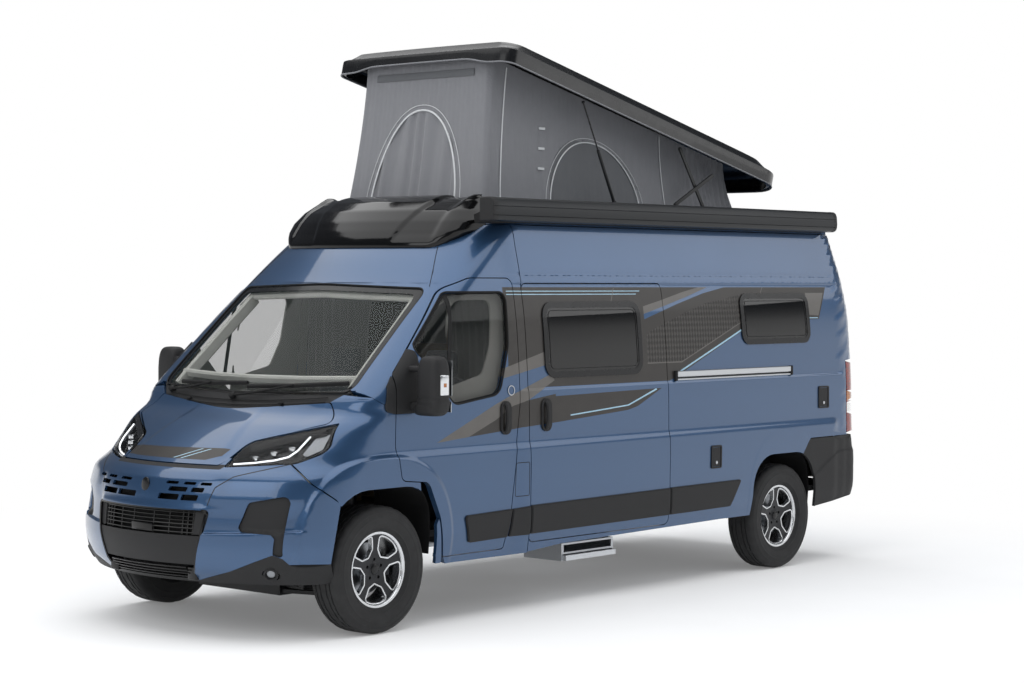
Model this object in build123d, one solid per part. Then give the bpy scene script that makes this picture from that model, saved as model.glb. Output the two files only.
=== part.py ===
from build123d import *
from collections import namedtuple
from math import atan2, cos, degrees, hypot, pi, radians, sin, sqrt
import os

# Camper van with a raised pop-top sleeping roof, millimetres.
# X points forward, Y to the van's left and Z up; the origin is on the ground at mid-length.

os.makedirs("parts", exist_ok=True)

# ---- driving dimensions: clearances and walls ----
GAP = 6.0  # open joint round a part that moves
FIT = 0.3  # seat and running clearance
WALL = 45.0  # body side, door and roof, skin to lining
GLASS_INSET = 3.0
GLASS = 6.0
FAR = 1400.0  # reach of a cutting prism past the body

# ---- driving dimensions: running gear ----
FRONT_AXLE_X = 2051.0
WHEELBASE = 4035.0
REAR_AXLE_X = FRONT_AXLE_X - WHEELBASE
FRONT_TRACK = 1810.0
REAR_TRACK = 1790.0
TYRE_R = 370.0
TYRE_W = 225.0
BEAD_R = 203.0
RIM_R = 219.0
RIM_T = 9.0
HUB_R = 62.0
STUB_R = 26.0
DISC_R = 148.0
KINGPIN_Y = 800.0
KINGPIN_R = 12.0

# ---- driving dimensions: body panels ----
FLOOR_TOP = 560.0
FLOOR_T = 40.0
SIDE_SEAM_X = 776.0  # front edge of the sliding door and of the side panel
ROOF_SEAM_Z = 2380.0
CEILING_Z = 2470.0
VALANCE_Z = 430.0
REAR_DOOR_HALF_W = 806.0
REAR_DOOR_BOTTOM = 560.0
REAR_DOOR_TOP = 2270.0
HINGE_X = -3005.0  # rear doors' hinge pin
HINGE_Y = 830.0
HINGE_R = 8.0
HINGE_KNUCKLE = 24.0
HINGE_DEPTH = 80.0
HINGE_FOOT = 30.0
HINGE_REACH = 105.0
HINGES_Z = (865.0, 1500.0, 1900.0)  # the lowest is carried by the bumper's corner
FIREWALL_X = 1962.0
FIREWALL_T = 25.0
FIREWALL_TOP = 1335.0
LINER_T = 6.0
LINER_Y = 585.0
REAR_LINER_Y = 660.0

# ---- driving dimensions: floor, chassis and engine ----
SHELF_HALF_W = 700.0
LINER_BOTTOM = 420.0
RAIL_Y = 500.0
RAIL_W = 70.0
RAIL_BOTTOM = 420.0
RAIL_REAR_X = -2860.0
RAIL_FRONT_X = 2760.0
BEAM_HALF_W = 600.0
OUTRIGGERS = (-1100, -300, 500, 1300)
OUTRIGGER_HALF_W = 930.0
APRON_Y = 560.0
APRON_TOP = 960.0
APRON_FRONT_X = 2580.0
BUFFER_X = 2430.0  # rubber buffers that the bonnet rests on
BUFFER_R = 18.0
BONNET_T = 12.0  # above BONNET_THIN_Z, where it opens over the wings and the cowl
BONNET_THIN_Z = 1205.0
COWL_IN = 24.0
COWL_IN_TOP = 1362.0
TOWER_T = 14.0
STRUT_Y = 710.0
SPRING_R = 55.0
ENGINE_X = (2000.0, 2600.0)
ENGINE_HALF_W = 440.0
ENGINE_Z = (330.0, 930.0)
EXHAUST_Z = 375.0
EXHAUST_R = 30.0
MUFFLER_R = 60.0
RACK_X = 1930.0
RACK_Z = 300.0
RACK_HALF_W = 640.0
UPRIGHT_R = 24.0
BEAM_R = 40.0
BEAM_END_Y = 780.0
SPRING_T = 12.0
TOWBAR_HOLES_X = (-2780.0, -2660.0)
TOWBAR_HOLE_Z = 470.0
TOWBAR_HOLE_R = 6.5
TOW_EYE_Y = -300.0
TOW_EYE_Z = 475.0
TOW_EYE_R = 10.0
TOW_EYE_HATCH = 80.0

# ---- driving dimensions: wheel ----
RIM_HALF_W = 76.0
FACE_Y = (34.0, 62.0)
DISC_Y = (-40.0, -14.0)
STUB_END_Y = 30.0
SPOKES = 5
BOLT_CIRCLE = 130.0
BOLT_R = 9.0

# ---- driving dimensions: pop-top ----
POP_ANGLE = 13.2  # opening angle of the raised roof
POP_HINGE_X = -2920.0
POP_HINGE_Z = 2560.0
POP_HALF_W = 770.0
POP_T = 22.0
POP_RIM_Z = 2560.0
TENT_HALF_W = 630.0
TENT_T = 12.0
TENT_BASE_Z = 2510.0 + FIT
TENT_FRONT_X = 752.0  # top corners of the tent, as they lie with the roof closed
TENT_REAR_X = -1850.0
TENT_TOP_Z = 2640.0
STRUT_PLANE_Y = 715.0
STRUT_FOOT = (-430.0, 2555.0)
STRUT_TOP = (-30.0, 2540.0)  # with the roof closed
STRUT_BODY = 380.0
ROD_R = 5.0
EYE_R_STRUT = 9.0
EYE_HALF_T = 6.0
PIN_R = 6.0
ARM_A_FOOT = (-1431.0, 2555.0)
ARM_A_TIP = (-1162.0, 2947.0)
ARM_A_Y = 704.0
ARM_B_FOOT = (-1090.0, 2560.0)
ARM_B_TIP = (-1514.0, 2774.0)
ARM_B_Y = 721.0
ARM_T = 11.0
ARM_HALF_H = 12.0
CHEEK_OFF = 12.5  # bracket cheek from the middle of its strut or arm

# ---- driving dimensions: awning, step, cab and trim ----
AWNING_X = (-2700.0, 1070.0)
STEP_X = (-130.0, 370.0)
STEP_Z = 262.0
PROUD = 12.0  # rub strips and plates stand this far off the panels
DASH_HALF_W = 900.0
STEERING_Y = -420.0
STEERING_R = 190.0
STEERING_X = 1430.0
STEERING_Z = 1200.0
COLUMN_TILT = 45.0
SEAT_Y = 430.0
SEAT_Z = 800.0
TAIL_LAMP_Z = (925.0, 1455.0)

# One row of the body: height, nose reach, plan radius of the nose, radius where it turns
# into the side, half width, tail reach and radius of the rear corner.
Section = namedtuple("Section", "z nose_x nose_r corner_r half_w tail_x tail_r")
BODY = (
    Section(310, 2905, 1400, 460, 985, -2900, 150),
    Section(420, 2975, 1450, 500, 1001, -2968, 150),
    Section(560, 2999, 1450, 500, 1020, -2999, 150),
    Section(730, 2982, 1450, 500, 1022, -2998, 150),
    Section(900, 2938, 1450, 500, 1024, -2972, 150),
    Section(985, 2822, 1400, 460, 1022, -2964, 150),
    Section(1090, 2665, 1700, 380, 1020, -2962, 150),
    Section(1200, 2480, 2300, 280, 1019, -2961, 150),
    Section(1270, 2335, 2900, 230, 1018, -2960, 150),
    Section(1360, 2250, 3600, 180, 1014, -2960, 150),
    Section(1750, 1836, 3200, 230, 986, -2958, 150),
    Section(2015, 1550, 2800, 280, 946, -2930, 150),
    Section(2235, 1335, 2200, 360, 897, -2888, 150),
    Section(2400, 1120, 2000, 400, 856, -2838, 150),
    Section(2450, 1020, 1900, 400, 820, -2815, 150),
    Section(2510, 780, 1900, 400, 690, -2740, 150),
)
# The wind deflector ahead of the pop-top, in the same columns.
DEFLECTOR = (
    Section(2225, 1392, 2000, 150, 690, 825, 20),
    Section(2330, 1365, 2000, 150, 790, 825, 20),
    Section(2470, 1225, 1900, 150, 750, 825, 20),
    Section(2530, 1110, 1900, 150, 700, 825, 20),
    Section(2572, 935, 4000, 20, 672, 825, 20),
)
# The pop-top's shell, lying closed, in the same columns.
POP_ROOF = (
    Section(2560, 812, 20000, 90, 770, -2330, 260),
    Section(2655, 812, 20000, 90, 770, -2335, 260),
    Section(2720, 730, 20000, 120, 700, -2210, 280),
    Section(2765, 560, 20000, 180, 540, -1960, 300),
)


# ---- sections and prisms ----
def section_at(table, z):
    z = min(max(z, table[0].z), table[-1].z)
    low, high = next((a, b) for a, b in zip(table, table[1:]) if a.z <= z <= b.z)
    t = (z - low.z) / (high.z - low.z)
    return Section(*(a + t * (b - a) for a, b in zip(low, high)))


def tail_x(z, inset=0.0):
    return section_at(BODY, z).tail_x + inset


def plan_wire(table, z, inset, height):
    """Closed plan outline: nose arc, corner arcs, straight sides, rear corners and tail."""
    s = section_at(table, z)
    nose_r, corner_r, tail_r = s.nose_r - inset, s.corner_r - inset, s.tail_r - inset
    tail_r = max(tail_r, 4.0)
    half = s.half_w - inset
    nose_c = s.nose_x - s.nose_r
    reach = sqrt((nose_r - corner_r) ** 2 - (half - corner_r) ** 2)
    turn = atan2(half - corner_r, reach)
    corner = (nose_c + reach, half - corner_r)
    tail = s.tail_x + inset
    rear = (tail + tail_r, half - tail_r)

    def on(center, radius, angle):
        return (center[0] + radius * cos(angle), center[1] + radius * sin(angle))

    upper = [
        on((nose_c, 0), nose_r, turn),
        on(corner, corner_r, (turn + pi / 2) / 2),
        (corner[0], half),
        (rear[0], half),
        on(rear, tail_r, 3 * pi / 4),
        (tail, rear[1]),
    ]
    p = [Vector(x, y, height) for x, y in upper]
    q = [Vector(x, -y, height) for x, y in upper]
    nose = Vector(nose_c + nose_r, 0, height)
    edges = [
        Edge.make_three_point_arc(q[0], nose, p[0]),
        Edge.make_three_point_arc(p[0], p[1], p[2]),
        Edge.make_line(p[2], p[3]),
        Edge.make_three_point_arc(p[3], p[4], p[5]),
        Edge.make_line(p[5], q[5]),
        Edge.make_three_point_arc(q[5], q[4], q[3]),
        Edge.make_line(q[3], q[2]),
        Edge.make_three_point_arc(q[2], q[1], q[0]),
    ]
    return Wire(edges)


def hull_solid(table, inset, low, high):
    """Ruled solid through the table's rows from one height to another, inset all round."""
    middle = [row.z for row in table if low + 1 < row.z < high - 1]
    return Solid.make_loft([plan_wire(table, z, inset, z) for z in (low, *middle, high)], ruled=True)


def prism(plane, points, low, high):
    """Prism of a rounded polygon (u, v, radius) between two stations across its plane."""
    corners = [(u, v) for u, v, _ in points]
    face = make_face(FilletPolyline(*corners, radius=[r for _, _, r in points], close=True))
    start = plane.offset(-high if plane == Plane.XZ else low)
    return extrude(start * face, high - low)


def side_prism(points, low, high):
    return prism(Plane.XZ, points, low, high)


def front_prism(points, low, high):
    return prism(Plane.YZ, points, low, high)


def plan_prism(points, low, high):
    return prism(Plane.XY, points, low, high)


def grown(points, by):
    """The outline moved outwards by a distance (inwards where it is negative)."""
    result = []
    count = len(points)
    area = sum(
        points[i][0] * points[(i + 1) % count][1] - points[(i + 1) % count][0] * points[i][1]
        for i in range(count)
    )
    turn = 1 if area > 0 else -1
    for i, (u, v, r) in enumerate(points):
        before, after = points[i - 1], points[(i + 1) % count]
        a = (u - before[0], v - before[1])
        b = (after[0] - u, after[1] - v)
        na = (turn * a[1] / hypot(*a), -turn * a[0] / hypot(*a))
        nb = (turn * b[1] / hypot(*b), -turn * b[0] / hypot(*b))
        scale = by / (1 + na[0] * nb[0] + na[1] * nb[1])
        bend = turn * (a[0] * b[1] - a[1] * b[0])
        result.append((u + (na[0] + nb[0]) * scale, v + (na[1] + nb[1]) * scale,
                       max(r + by, 0) if bend > 0 and r else (max(r - by, 0) if r else 0)))
    return result


def block(x, y, z):
    """Box from three (low, high) pairs."""
    size = (x[1] - x[0], y[1] - y[0], z[1] - z[0])
    return Pos(x[0], y[0], z[0]) * Box(*size, align=(Align.MIN, Align.MIN, Align.MIN))


def rod(start, end, radius):
    axis = Vector(*end) - Vector(*start)
    return Solid.make_cylinder(radius, axis.length, Plane(origin=start, z_dir=axis))


def mirrored(shape):
    return mirror(shape, about=Plane.XZ)


def both(shape):
    return [shape, mirrored(shape)]


def fused(first, *others):
    result = first
    for other in others:
        result = result + other
    return result


def save(name, *shapes):
    solids = []
    for shape in shapes:
        items = [shape] if hasattr(shape, "solids") else shape
        solids += [solid for item in items for solid in item.solids()]
    export_step(solids[0] if len(solids) == 1 else Compound(solids), f"parts/{name}.step")


def hinge_leaf(z_low, z_high, y_low, y_high):
    """Knuckle on the rear doors' pin line, its leaf, and a foot that reaches into the panel."""
    foot_y = (y_low, y_low + HINGE_FOOT) if y_low < HINGE_Y - HINGE_R else (y_high - HINGE_FOOT / 2, y_high)
    return fused(
        rod((HINGE_X, HINGE_Y, z_low), (HINGE_X, HINGE_Y, z_high), HINGE_R),
        block((HINGE_X - 4, HINGE_X + HINGE_R), (y_low, y_high), (z_low, z_high)),
        block((HINGE_X - 4, HINGE_X + HINGE_DEPTH), foot_y, (z_low, z_high)),
    )


# ---- outlines: (x, z, radius) for side views, (y, z, radius) for front views ----
CAB_DOOR = [
    (1545, 400, 25), (1590, 640, 150), (1690, 850, 60), (1915, 872, 45), (1950, 1080, 200), (1936, 1490, 60),
    (1430, 1985, 260), (1230, 2054, 150), (853, 2054, 60), (853, 1300, 600), (945, 640, 400), (1000, 400, 25),
]
CAB_WINDOW = [
    (1420, 1968, 70), (927, 1968, 60), (940, 1640, 200), (1035, 1345, 100), (1440, 1295, 80),
    (1765, 1640, 50),
]
WINDOW_BAR = [(1385, 2100, 0), (1425, 2100, 0), (1525, 1200, 0), (1485, 1200, 0)]
SLIDING_DOOR = [(-634, 425, 40), (776, 425, 40), (776, 2018, 40), (-634, 2018, 40)]
DOOR_WINDOW = [(-360, 1440, 80), (600, 1440, 80), (600, 1893, 80), (-360, 1893, 80)]
BED_WINDOW = [(-2330, 1607, 70), (-1510, 1607, 70), (-1510, 1942, 70), (-2330, 1942, 70)]
FRONT_ARCH = [(1597, 250, 0), (1628, 840, 190), (2478, 840, 190), (2505, 250, 0)]
REAR_ARCH = [(-1560, 250, 0), (-1610, 822, 200), (-2340, 822, 200), (-2396, 250, 0)]
BUMPER = [(3100, 200, 0), (3100, 1100, 0), (2560, 1100, 0), (2545, 892, 60), (2392, 781, 60), (2392, 200, 0)]
REAR_BUMPER = [
    (-2200, 380, 0), (-2200, 800, 0), (-2300, 910, 20), (-3100, 910, 0), (-3100, 470, 0), (-2330, 410, 0),
]
WINDSCREEN = [
    (-840, 1388, 60), (-804, 1990, 60), (0, 2015, 3000), (804, 1990, 60), (840, 1388, 60), (0, 1366, 3000),
]
BONNET = [
    (-425, 978, 30), (-466, 1109, 60), (-850, 1216, 20), (-745, 1332, 40), (0, 1272, 2000),
    (745, 1332, 40), (850, 1216, 20), (466, 1109, 60), (425, 978, 30),
]
COWL = [(-900, 1260, 0), (-900, 1500, 0), (900, 1500, 0), (900, 1260, 0)]
LAMP = [(458, 974, 15), (466, 1109, 60), (889, 1217, 6), (931, 1067, 60), (820, 1000, 60), (514, 978, 40)]
WING_TOP = [
    (1500, 200, 0), (1500, 1290, 0), (1955, 1290, 0), (2045, 1330, 0), (2130, 1400, 0), (3100, 1400, 0),
    (3100, 200, 0),
]
UNDERCUT = [(1600, 200, 0), (1600, 312, 0), (970, 352, 0), (450, 390, 0), (-1240, 412, 0), (-2330, 412, 0),
            (-3100, 478, 0), (-3100, 200, 0)]
CAB_STRIP = [(1330, 470, 20), (1370, 632, 20), (700, 648, 0), (700, 478, 0)]
MIRROR_PLATE = [(1800, 1262, 20), (1935, 1262, 20), (1932, 1470, 20), (1862, 1545, 20), (1800, 1545, 20)]
GRILLE = [(-470, 735, 30), (-500, 905, 25), (500, 905, 25), (470, 735, 30)]
LOWER_GRILLE = [(-470, 345, 20), (-470, 735, 20), (470, 735, 20), (470, 345, 20)]


def rear_door_outline(low_y):
    return [(low_y, REAR_DOOR_BOTTOM, 25), (REAR_DOOR_HALF_W, REAR_DOOR_BOTTOM, 60),
            (REAR_DOOR_HALF_W - 60, REAR_DOOR_TOP, 90), (low_y, REAR_DOOR_TOP, 25)]


REAR_DOOR_GLASS = [(110, 1480, 70), (660, 1480, 70), (640, 2010, 70), (110, 2010, 70)]

# ---- body shell and the zones it is split into ----
outer = hull_solid(BODY, 0, BODY[0].z, BODY[-1].z)
inner = hull_solid(BODY, WALL, BODY[0].z - 5, CEILING_Z)
seat = hull_solid(BODY, WALL + FIT, BODY[0].z, CEILING_Z - FIT)
pane = hull_solid(BODY, GLASS_INSET, BODY[0].z, CEILING_Z) - hull_solid(
    BODY, GLASS_INSET + GLASS, BODY[0].z, CEILING_Z)
proud = hull_solid(BODY, -PROUD, BODY[0].z, ROOF_SEAM_Z)
shell = outer - inner
whole_y = (-FAR, FAR)
left_y = (0, FAR)
arches = [side_prism(arch, 560, FAR) for arch in (FRONT_ARCH, REAR_ARCH)]
arches += [mirrored(arch) for arch in arches]
for cut in (*arches, side_prism(UNDERCUT, -FAR, FAR)):
    shell = shell - cut

roof_zone = block((-3200, 3200), whole_y, (ROOF_SEAM_Z, 2700))
rear_zone = block((-3200, SIDE_SEAM_X), whole_y, (200, ROOF_SEAM_Z))
front_zone = block((SIDE_SEAM_X, 3200), whole_y, (200, ROOF_SEAM_Z))

# ---- roof and pop-top aperture ----
HATCH = [(-1900, -550, 80), (640, -550, 80), (640, 550, 80), (-1900, 550, 80)]
roof = (shell & roof_zone) - plan_prism(HATCH, 2300, 2700)
deflector = hull_solid(DEFLECTOR, 0, DEFLECTOR[0].z, DEFLECTOR[-1].z) - outer
save("wind_deflector", deflector)

# ---- side panels, sliding door, rear doors, rear bumper ----
rear = shell & rear_zone
door_width = (-REAR_DOOR_HALF_W - GAP, REAR_DOOR_HALF_W + GAP)
bumper_zone = side_prism(REAR_BUMPER, -FAR, FAR) - block(
    (-3200, -2700), door_width, (REAR_DOOR_BOTTOM - GAP + FIT, 1000))
half = HINGE_KNUCKLE / 2
body_leaves = [hinge_leaf(z - half, z + half, HINGE_Y, HINGE_Y + 25) for z in HINGES_Z]
door_leaves = []
for z in HINGES_Z:
    for low in (z + half + FIT, z - half - FIT - HINGE_KNUCKLE):
        door_leaves.append(hinge_leaf(low, low + HINGE_KNUCKLE, HINGE_Y - HINGE_REACH, HINGE_Y))
save("rear_bumper", fused(rear & bumper_zone, body_leaves[0], mirrored(body_leaves[0])))
rear = rear - bumper_zone
rear_door_zone = front_prism(rear_door_outline(GAP / 2), -3200, -2700)
rear_door_hole = front_prism(grown(rear_door_outline(-20), GAP), -3200, -2700)
door_glass_hole = front_prism(REAR_DOOR_GLASS, -3200, -2700)
rear_door = fused((rear & rear_door_zone) - door_glass_hole, *door_leaves)
save("rear_door_left", rear_door)
save("rear_door_right", mirrored(rear_door))
rear_glass = pane & front_prism(grown(REAR_DOOR_GLASS, -FIT), -3200, -2700)
save("rear_door_glass_left", rear_glass)
save("rear_door_glass_right", mirrored(rear_glass))
rear = rear - rear_door_hole - mirrored(rear_door_hole)
header_zone = block(
    (-3200, -2700), (-REAR_DOOR_HALF_W + 60, REAR_DOOR_HALF_W - 60), (REAR_DOOR_TOP, ROOF_SEAM_Z))
roof = roof + (rear & header_zone)
rear = rear - header_zone
lamp_block = block((-3200, -2790), (REAR_DOOR_HALF_W + GAP, FAR), TAIL_LAMP_Z)
tail_lamp = rear & lamp_block
rear = rear - lamp_block - mirrored(lamp_block)

left = fused(rear & block((-3200, SIDE_SEAM_X), left_y, (200, ROOF_SEAM_Z)), *body_leaves[1:])
right = mirrored(left)
slide_zone = side_prism(SLIDING_DOOR, 500, FAR)
sliding_door = (left & slide_zone) - side_prism(DOOR_WINDOW, 500, FAR)
save("sliding_door", sliding_door)
left = left - slide_zone - side_prism(BED_WINDOW, 500, FAR)
save("body_side_left", left)
right = right - side_prism(BED_WINDOW, -FAR, -500) - side_prism(DOOR_WINDOW, -FAR, -500)
save("body_side_right", right)
windows = [pane & side_prism(grown(w, -FIT), 500, FAR) for w in (DOOR_WINDOW, BED_WINDOW)]
save("side_windows", *windows, *[mirrored(w) for w in windows])

# ---- cab: doors, screen, bonnet, lamps, wings, bumper ----
front = shell & front_zone
cab_door_zone = side_prism(grown(CAB_DOOR, -GAP), 500, FAR)
cab_window = side_prism(CAB_WINDOW, 500, FAR) - side_prism(WINDOW_BAR, 500, FAR)
cab_door = (front & cab_door_zone) - cab_window
cab_door = cab_door + (side_prism(CAB_STRIP, 500, FAR) & cab_door_zone & (proud - outer))
save("cab_door_left", cab_door)
save("cab_door_right", mirrored(cab_door))
cab_glass = pane & side_prism(grown(CAB_WINDOW, -FIT), 500, FAR)
cab_glass = cab_glass - side_prism(grown(WINDOW_BAR, FIT), 500, FAR)
save("cab_door_glass_left", cab_glass)
save("cab_door_glass_right", mirrored(cab_glass))
cab_door_hole = side_prism(CAB_DOOR, 500, FAR)
front = front - cab_door_hole - mirrored(cab_door_hole)
screen_zone = front_prism(WINDSCREEN, 1300, 3200)
save("windscreen", pane & front_prism(grown(WINDSCREEN, -FIT), 1300, 3200))
front = front - screen_zone
bonnet_zone = front_prism(grown(BONNET, -GAP), 1950, 3200)
save("bonnet", (front & bonnet_zone) - hull_solid(BODY, BONNET_T, BONNET_THIN_Z, COWL_IN_TOP))
front = front - front_prism(BONNET, 1950, 3200)
lamp_zone = front_prism(LAMP, 2050, 3200)
lamp = front & lamp_zone
save("headlamps", lamp, mirrored(lamp))
front = front - lamp_zone - mirrored(lamp_zone)
cowl_zone = front_prism(COWL, 2000, 3200) - side_prism(WING_TOP, 790, FAR) - side_prism(WING_TOP, -FAR, -790)
cowl_skin = block((2000, 3200), whole_y, (1200, COWL_IN_TOP))
cowl_skin = cowl_skin - hull_solid(BODY, COWL_IN, 1190, COWL_IN_TOP + 10)
save("cowl", (front & cowl_zone) - cowl_skin)
front = front - cowl_zone
bumper_zone = side_prism(BUMPER, -FAR, FAR)
bumper = front & bumper_zone
front = front - bumper_zone
grille_hole = front_prism(GRILLE, 2500, 3200)
lower_hole = front_prism(LOWER_GRILLE, 2500, 3200)
valance_zone = block((2300, 3200), whole_y, (200, VALANCE_Z))
grille = bumper & grille_hole
slots = []
for row, (z, inner_y) in enumerate(((872, 110), (838, 130), (804, 150))):
    for column in range(3 if row == 0 else 2):
        y = inner_y + 125 * column
        slots.append(block((2500, 3200), (y, y + 105), (z - 9, z + 9)))
for slot in slots:
    grille = grille - slot - mirrored(slot)
lower = (bumper - grille_hole) & lower_hole
for z in (362, 382, 402):
    lower = lower - block((2500, 3200), (-430, 430), (z - 6, z + 6))
hatch_half = TOW_EYE_HATCH / 2
lower = lower - block((2500, 3200), (TOW_EYE_Y - hatch_half, TOW_EYE_Y + hatch_half),
                      (TOW_EYE_Z - hatch_half, TOW_EYE_Z + hatch_half))
save("grille", grille, lower)
bumper = bumper - grille_hole - lower_hole
save("front_bumper", bumper - valance_zone)
save("front_valance", bumper & valance_zone)
wing_zone = side_prism(WING_TOP, 0, FAR)
wing = front & wing_zone
save("front_wings", wing, mirrored(wing))
save("cab_frame", front - wing_zone - mirrored(wing_zone))

# ---- floor, firewall and arch liners ----
floor = block((-3200, FIREWALL_X), whole_y, (FLOOR_TOP - FLOOR_T, FLOOR_TOP)) & seat
firewall = block((FIREWALL_X, FIREWALL_X + FIREWALL_T), whole_y, (FLOOR_TOP - FLOOR_T, FIREWALL_TOP)) & seat
shelf = block((FIREWALL_X, 2400), (-SHELF_HALF_W, SHELF_HALF_W), (FIREWALL_TOP, FIREWALL_TOP + 10)) & seat
floor_pan = fused(floor, firewall, shelf)
rear_sill = block((-3200, tail_x(FLOOR_TOP, WALL + 30)), whole_y, (FLOOR_TOP - 15, FLOOR_TOP + 10))
floor_pan = floor_pan - rear_sill
liners = []
for arch, inner_y in ((FRONT_ARCH, LINER_Y), (REAR_ARCH, REAR_LINER_Y)):
    band = side_prism(grown(arch, LINER_T), inner_y, FAR) - side_prism(arch, inner_y - 1, FAR + 1)
    band = (band & seat) - block((-3200, 3200), whole_y, (200, LINER_BOTTOM))
    floor_cut = side_prism(grown(arch, LINER_T + FIT), inner_y - LINER_T - FIT, FAR)
    floor_pan = floor_pan - floor_cut - mirrored(floor_cut)
    if inner_y == REAR_LINER_Y:
        cheek = side_prism(grown(arch, LINER_T), inner_y - LINER_T, inner_y)
        band = band + (cheek - block((-3200, 3200), whole_y, (200, FLOOR_TOP - FLOOR_T)))
    else:
        band = band - rod((FRONT_AXLE_X, STRUT_Y, 600), (FRONT_AXLE_X, STRUT_Y, 1000), SPRING_R + GAP)
    liners += both(band)
save("floor_pan", floor_pan)
save("wheel_arch_liners", *liners)

# ---- chassis: rails, crossmembers, aprons, strut towers, engine mounts, bumper beams ----
rail_top = FLOOR_TOP - FLOOR_T - FIT
rail_z = (RAIL_BOTTOM, rail_top)
pieces = []
for y in (-RAIL_Y, RAIL_Y):
    pieces.append(block((RAIL_REAR_X, RAIL_FRONT_X), (y - RAIL_W / 2, y + RAIL_W / 2), rail_z))
for x in (RAIL_REAR_X, -2450, -1400, -700, 0, 700, 1400):
    pieces.append(block((x, x + 60), (-RAIL_Y, RAIL_Y), (RAIL_BOTTOM + 20, rail_top)))
for x in OUTRIGGERS:
    pieces.append(block((x, x + 50), (-OUTRIGGER_HALF_W, OUTRIGGER_HALF_W), (RAIL_BOTTOM + 30, rail_top)))
pieces.append(block(
    (RAIL_FRONT_X - 60, RAIL_FRONT_X), (-BEAM_HALF_W, BEAM_HALF_W), (RAIL_BOTTOM, RAIL_BOTTOM + 110)))
for side in (-1, 1):
    apron_y = sorted((side * APRON_Y, side * (APRON_Y - 12)))
    pieces.append(block((FIREWALL_X + FIREWALL_T + FIT, APRON_FRONT_X), apron_y, (RAIL_BOTTOM, APRON_TOP)))
    pieces.append(block((FIREWALL_X + FIREWALL_T + FIT, APRON_FRONT_X),
                        sorted((side * (RAIL_Y + 20), side * APRON_Y)), (RAIL_BOTTOM, RAIL_BOTTOM + 60)))
    tower_y = sorted((side * (APRON_Y - 12), side * (STRUT_Y + 60)))
    pieces.append(block((FRONT_AXLE_X - 60, FRONT_AXLE_X + 60), tower_y, (APRON_TOP - TOWER_T, APRON_TOP)))
    pieces.append(rod((BUFFER_X, side * (APRON_Y - 6), APRON_TOP - 5), (BUFFER_X, side * (APRON_Y - 6), 1300),
                      BUFFER_R) & seat)
    mount_y = sorted((side * (ENGINE_HALF_W + FIT), side * RAIL_Y))
    pieces.append(block((2250, 2350), mount_y, (RAIL_BOTTOM + 20, rail_top - 20)))
chassis = fused(*pieces)
for x in TOWBAR_HOLES_X:
    for y in (-RAIL_Y, RAIL_Y):
        chassis = chassis - rod((x, y - RAIL_W, TOWBAR_HOLE_Z), (x, y + RAIL_W, TOWBAR_HOLE_Z), TOWBAR_HOLE_R)
tow_eye = rod((RAIL_FRONT_X - 80, TOW_EYE_Y, TOW_EYE_Z), (RAIL_FRONT_X + 1, TOW_EYE_Y, TOW_EYE_Z), TOW_EYE_R)
chassis = chassis - tow_eye
save("chassis_frame", chassis)

# ---- engine and underbody ----
save("engine_block", block(ENGINE_X, (-ENGINE_HALF_W, ENGINE_HALF_W), ENGINE_Z))
fuel_tank = block((300, 1250), (-430, -120), (270, RAIL_BOTTOM + 20 - FIT))
waste_tank = block((-1350, -450), (-430, -60), (290, RAIL_BOTTOM + 20 - FIT))
exhaust = fused(
    rod((ENGINE_X[0] - FIT, 190, EXHAUST_Z), (600, 190, EXHAUST_Z), EXHAUST_R),
    rod((650, 190, EXHAUST_Z), (-200, 190, EXHAUST_Z), MUFFLER_R),
    rod((-150, 190, EXHAUST_Z), (-1700, 190, EXHAUST_Z), EXHAUST_R),
)
save("underbody", fuel_tank, waste_tank, exhaust)

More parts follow.
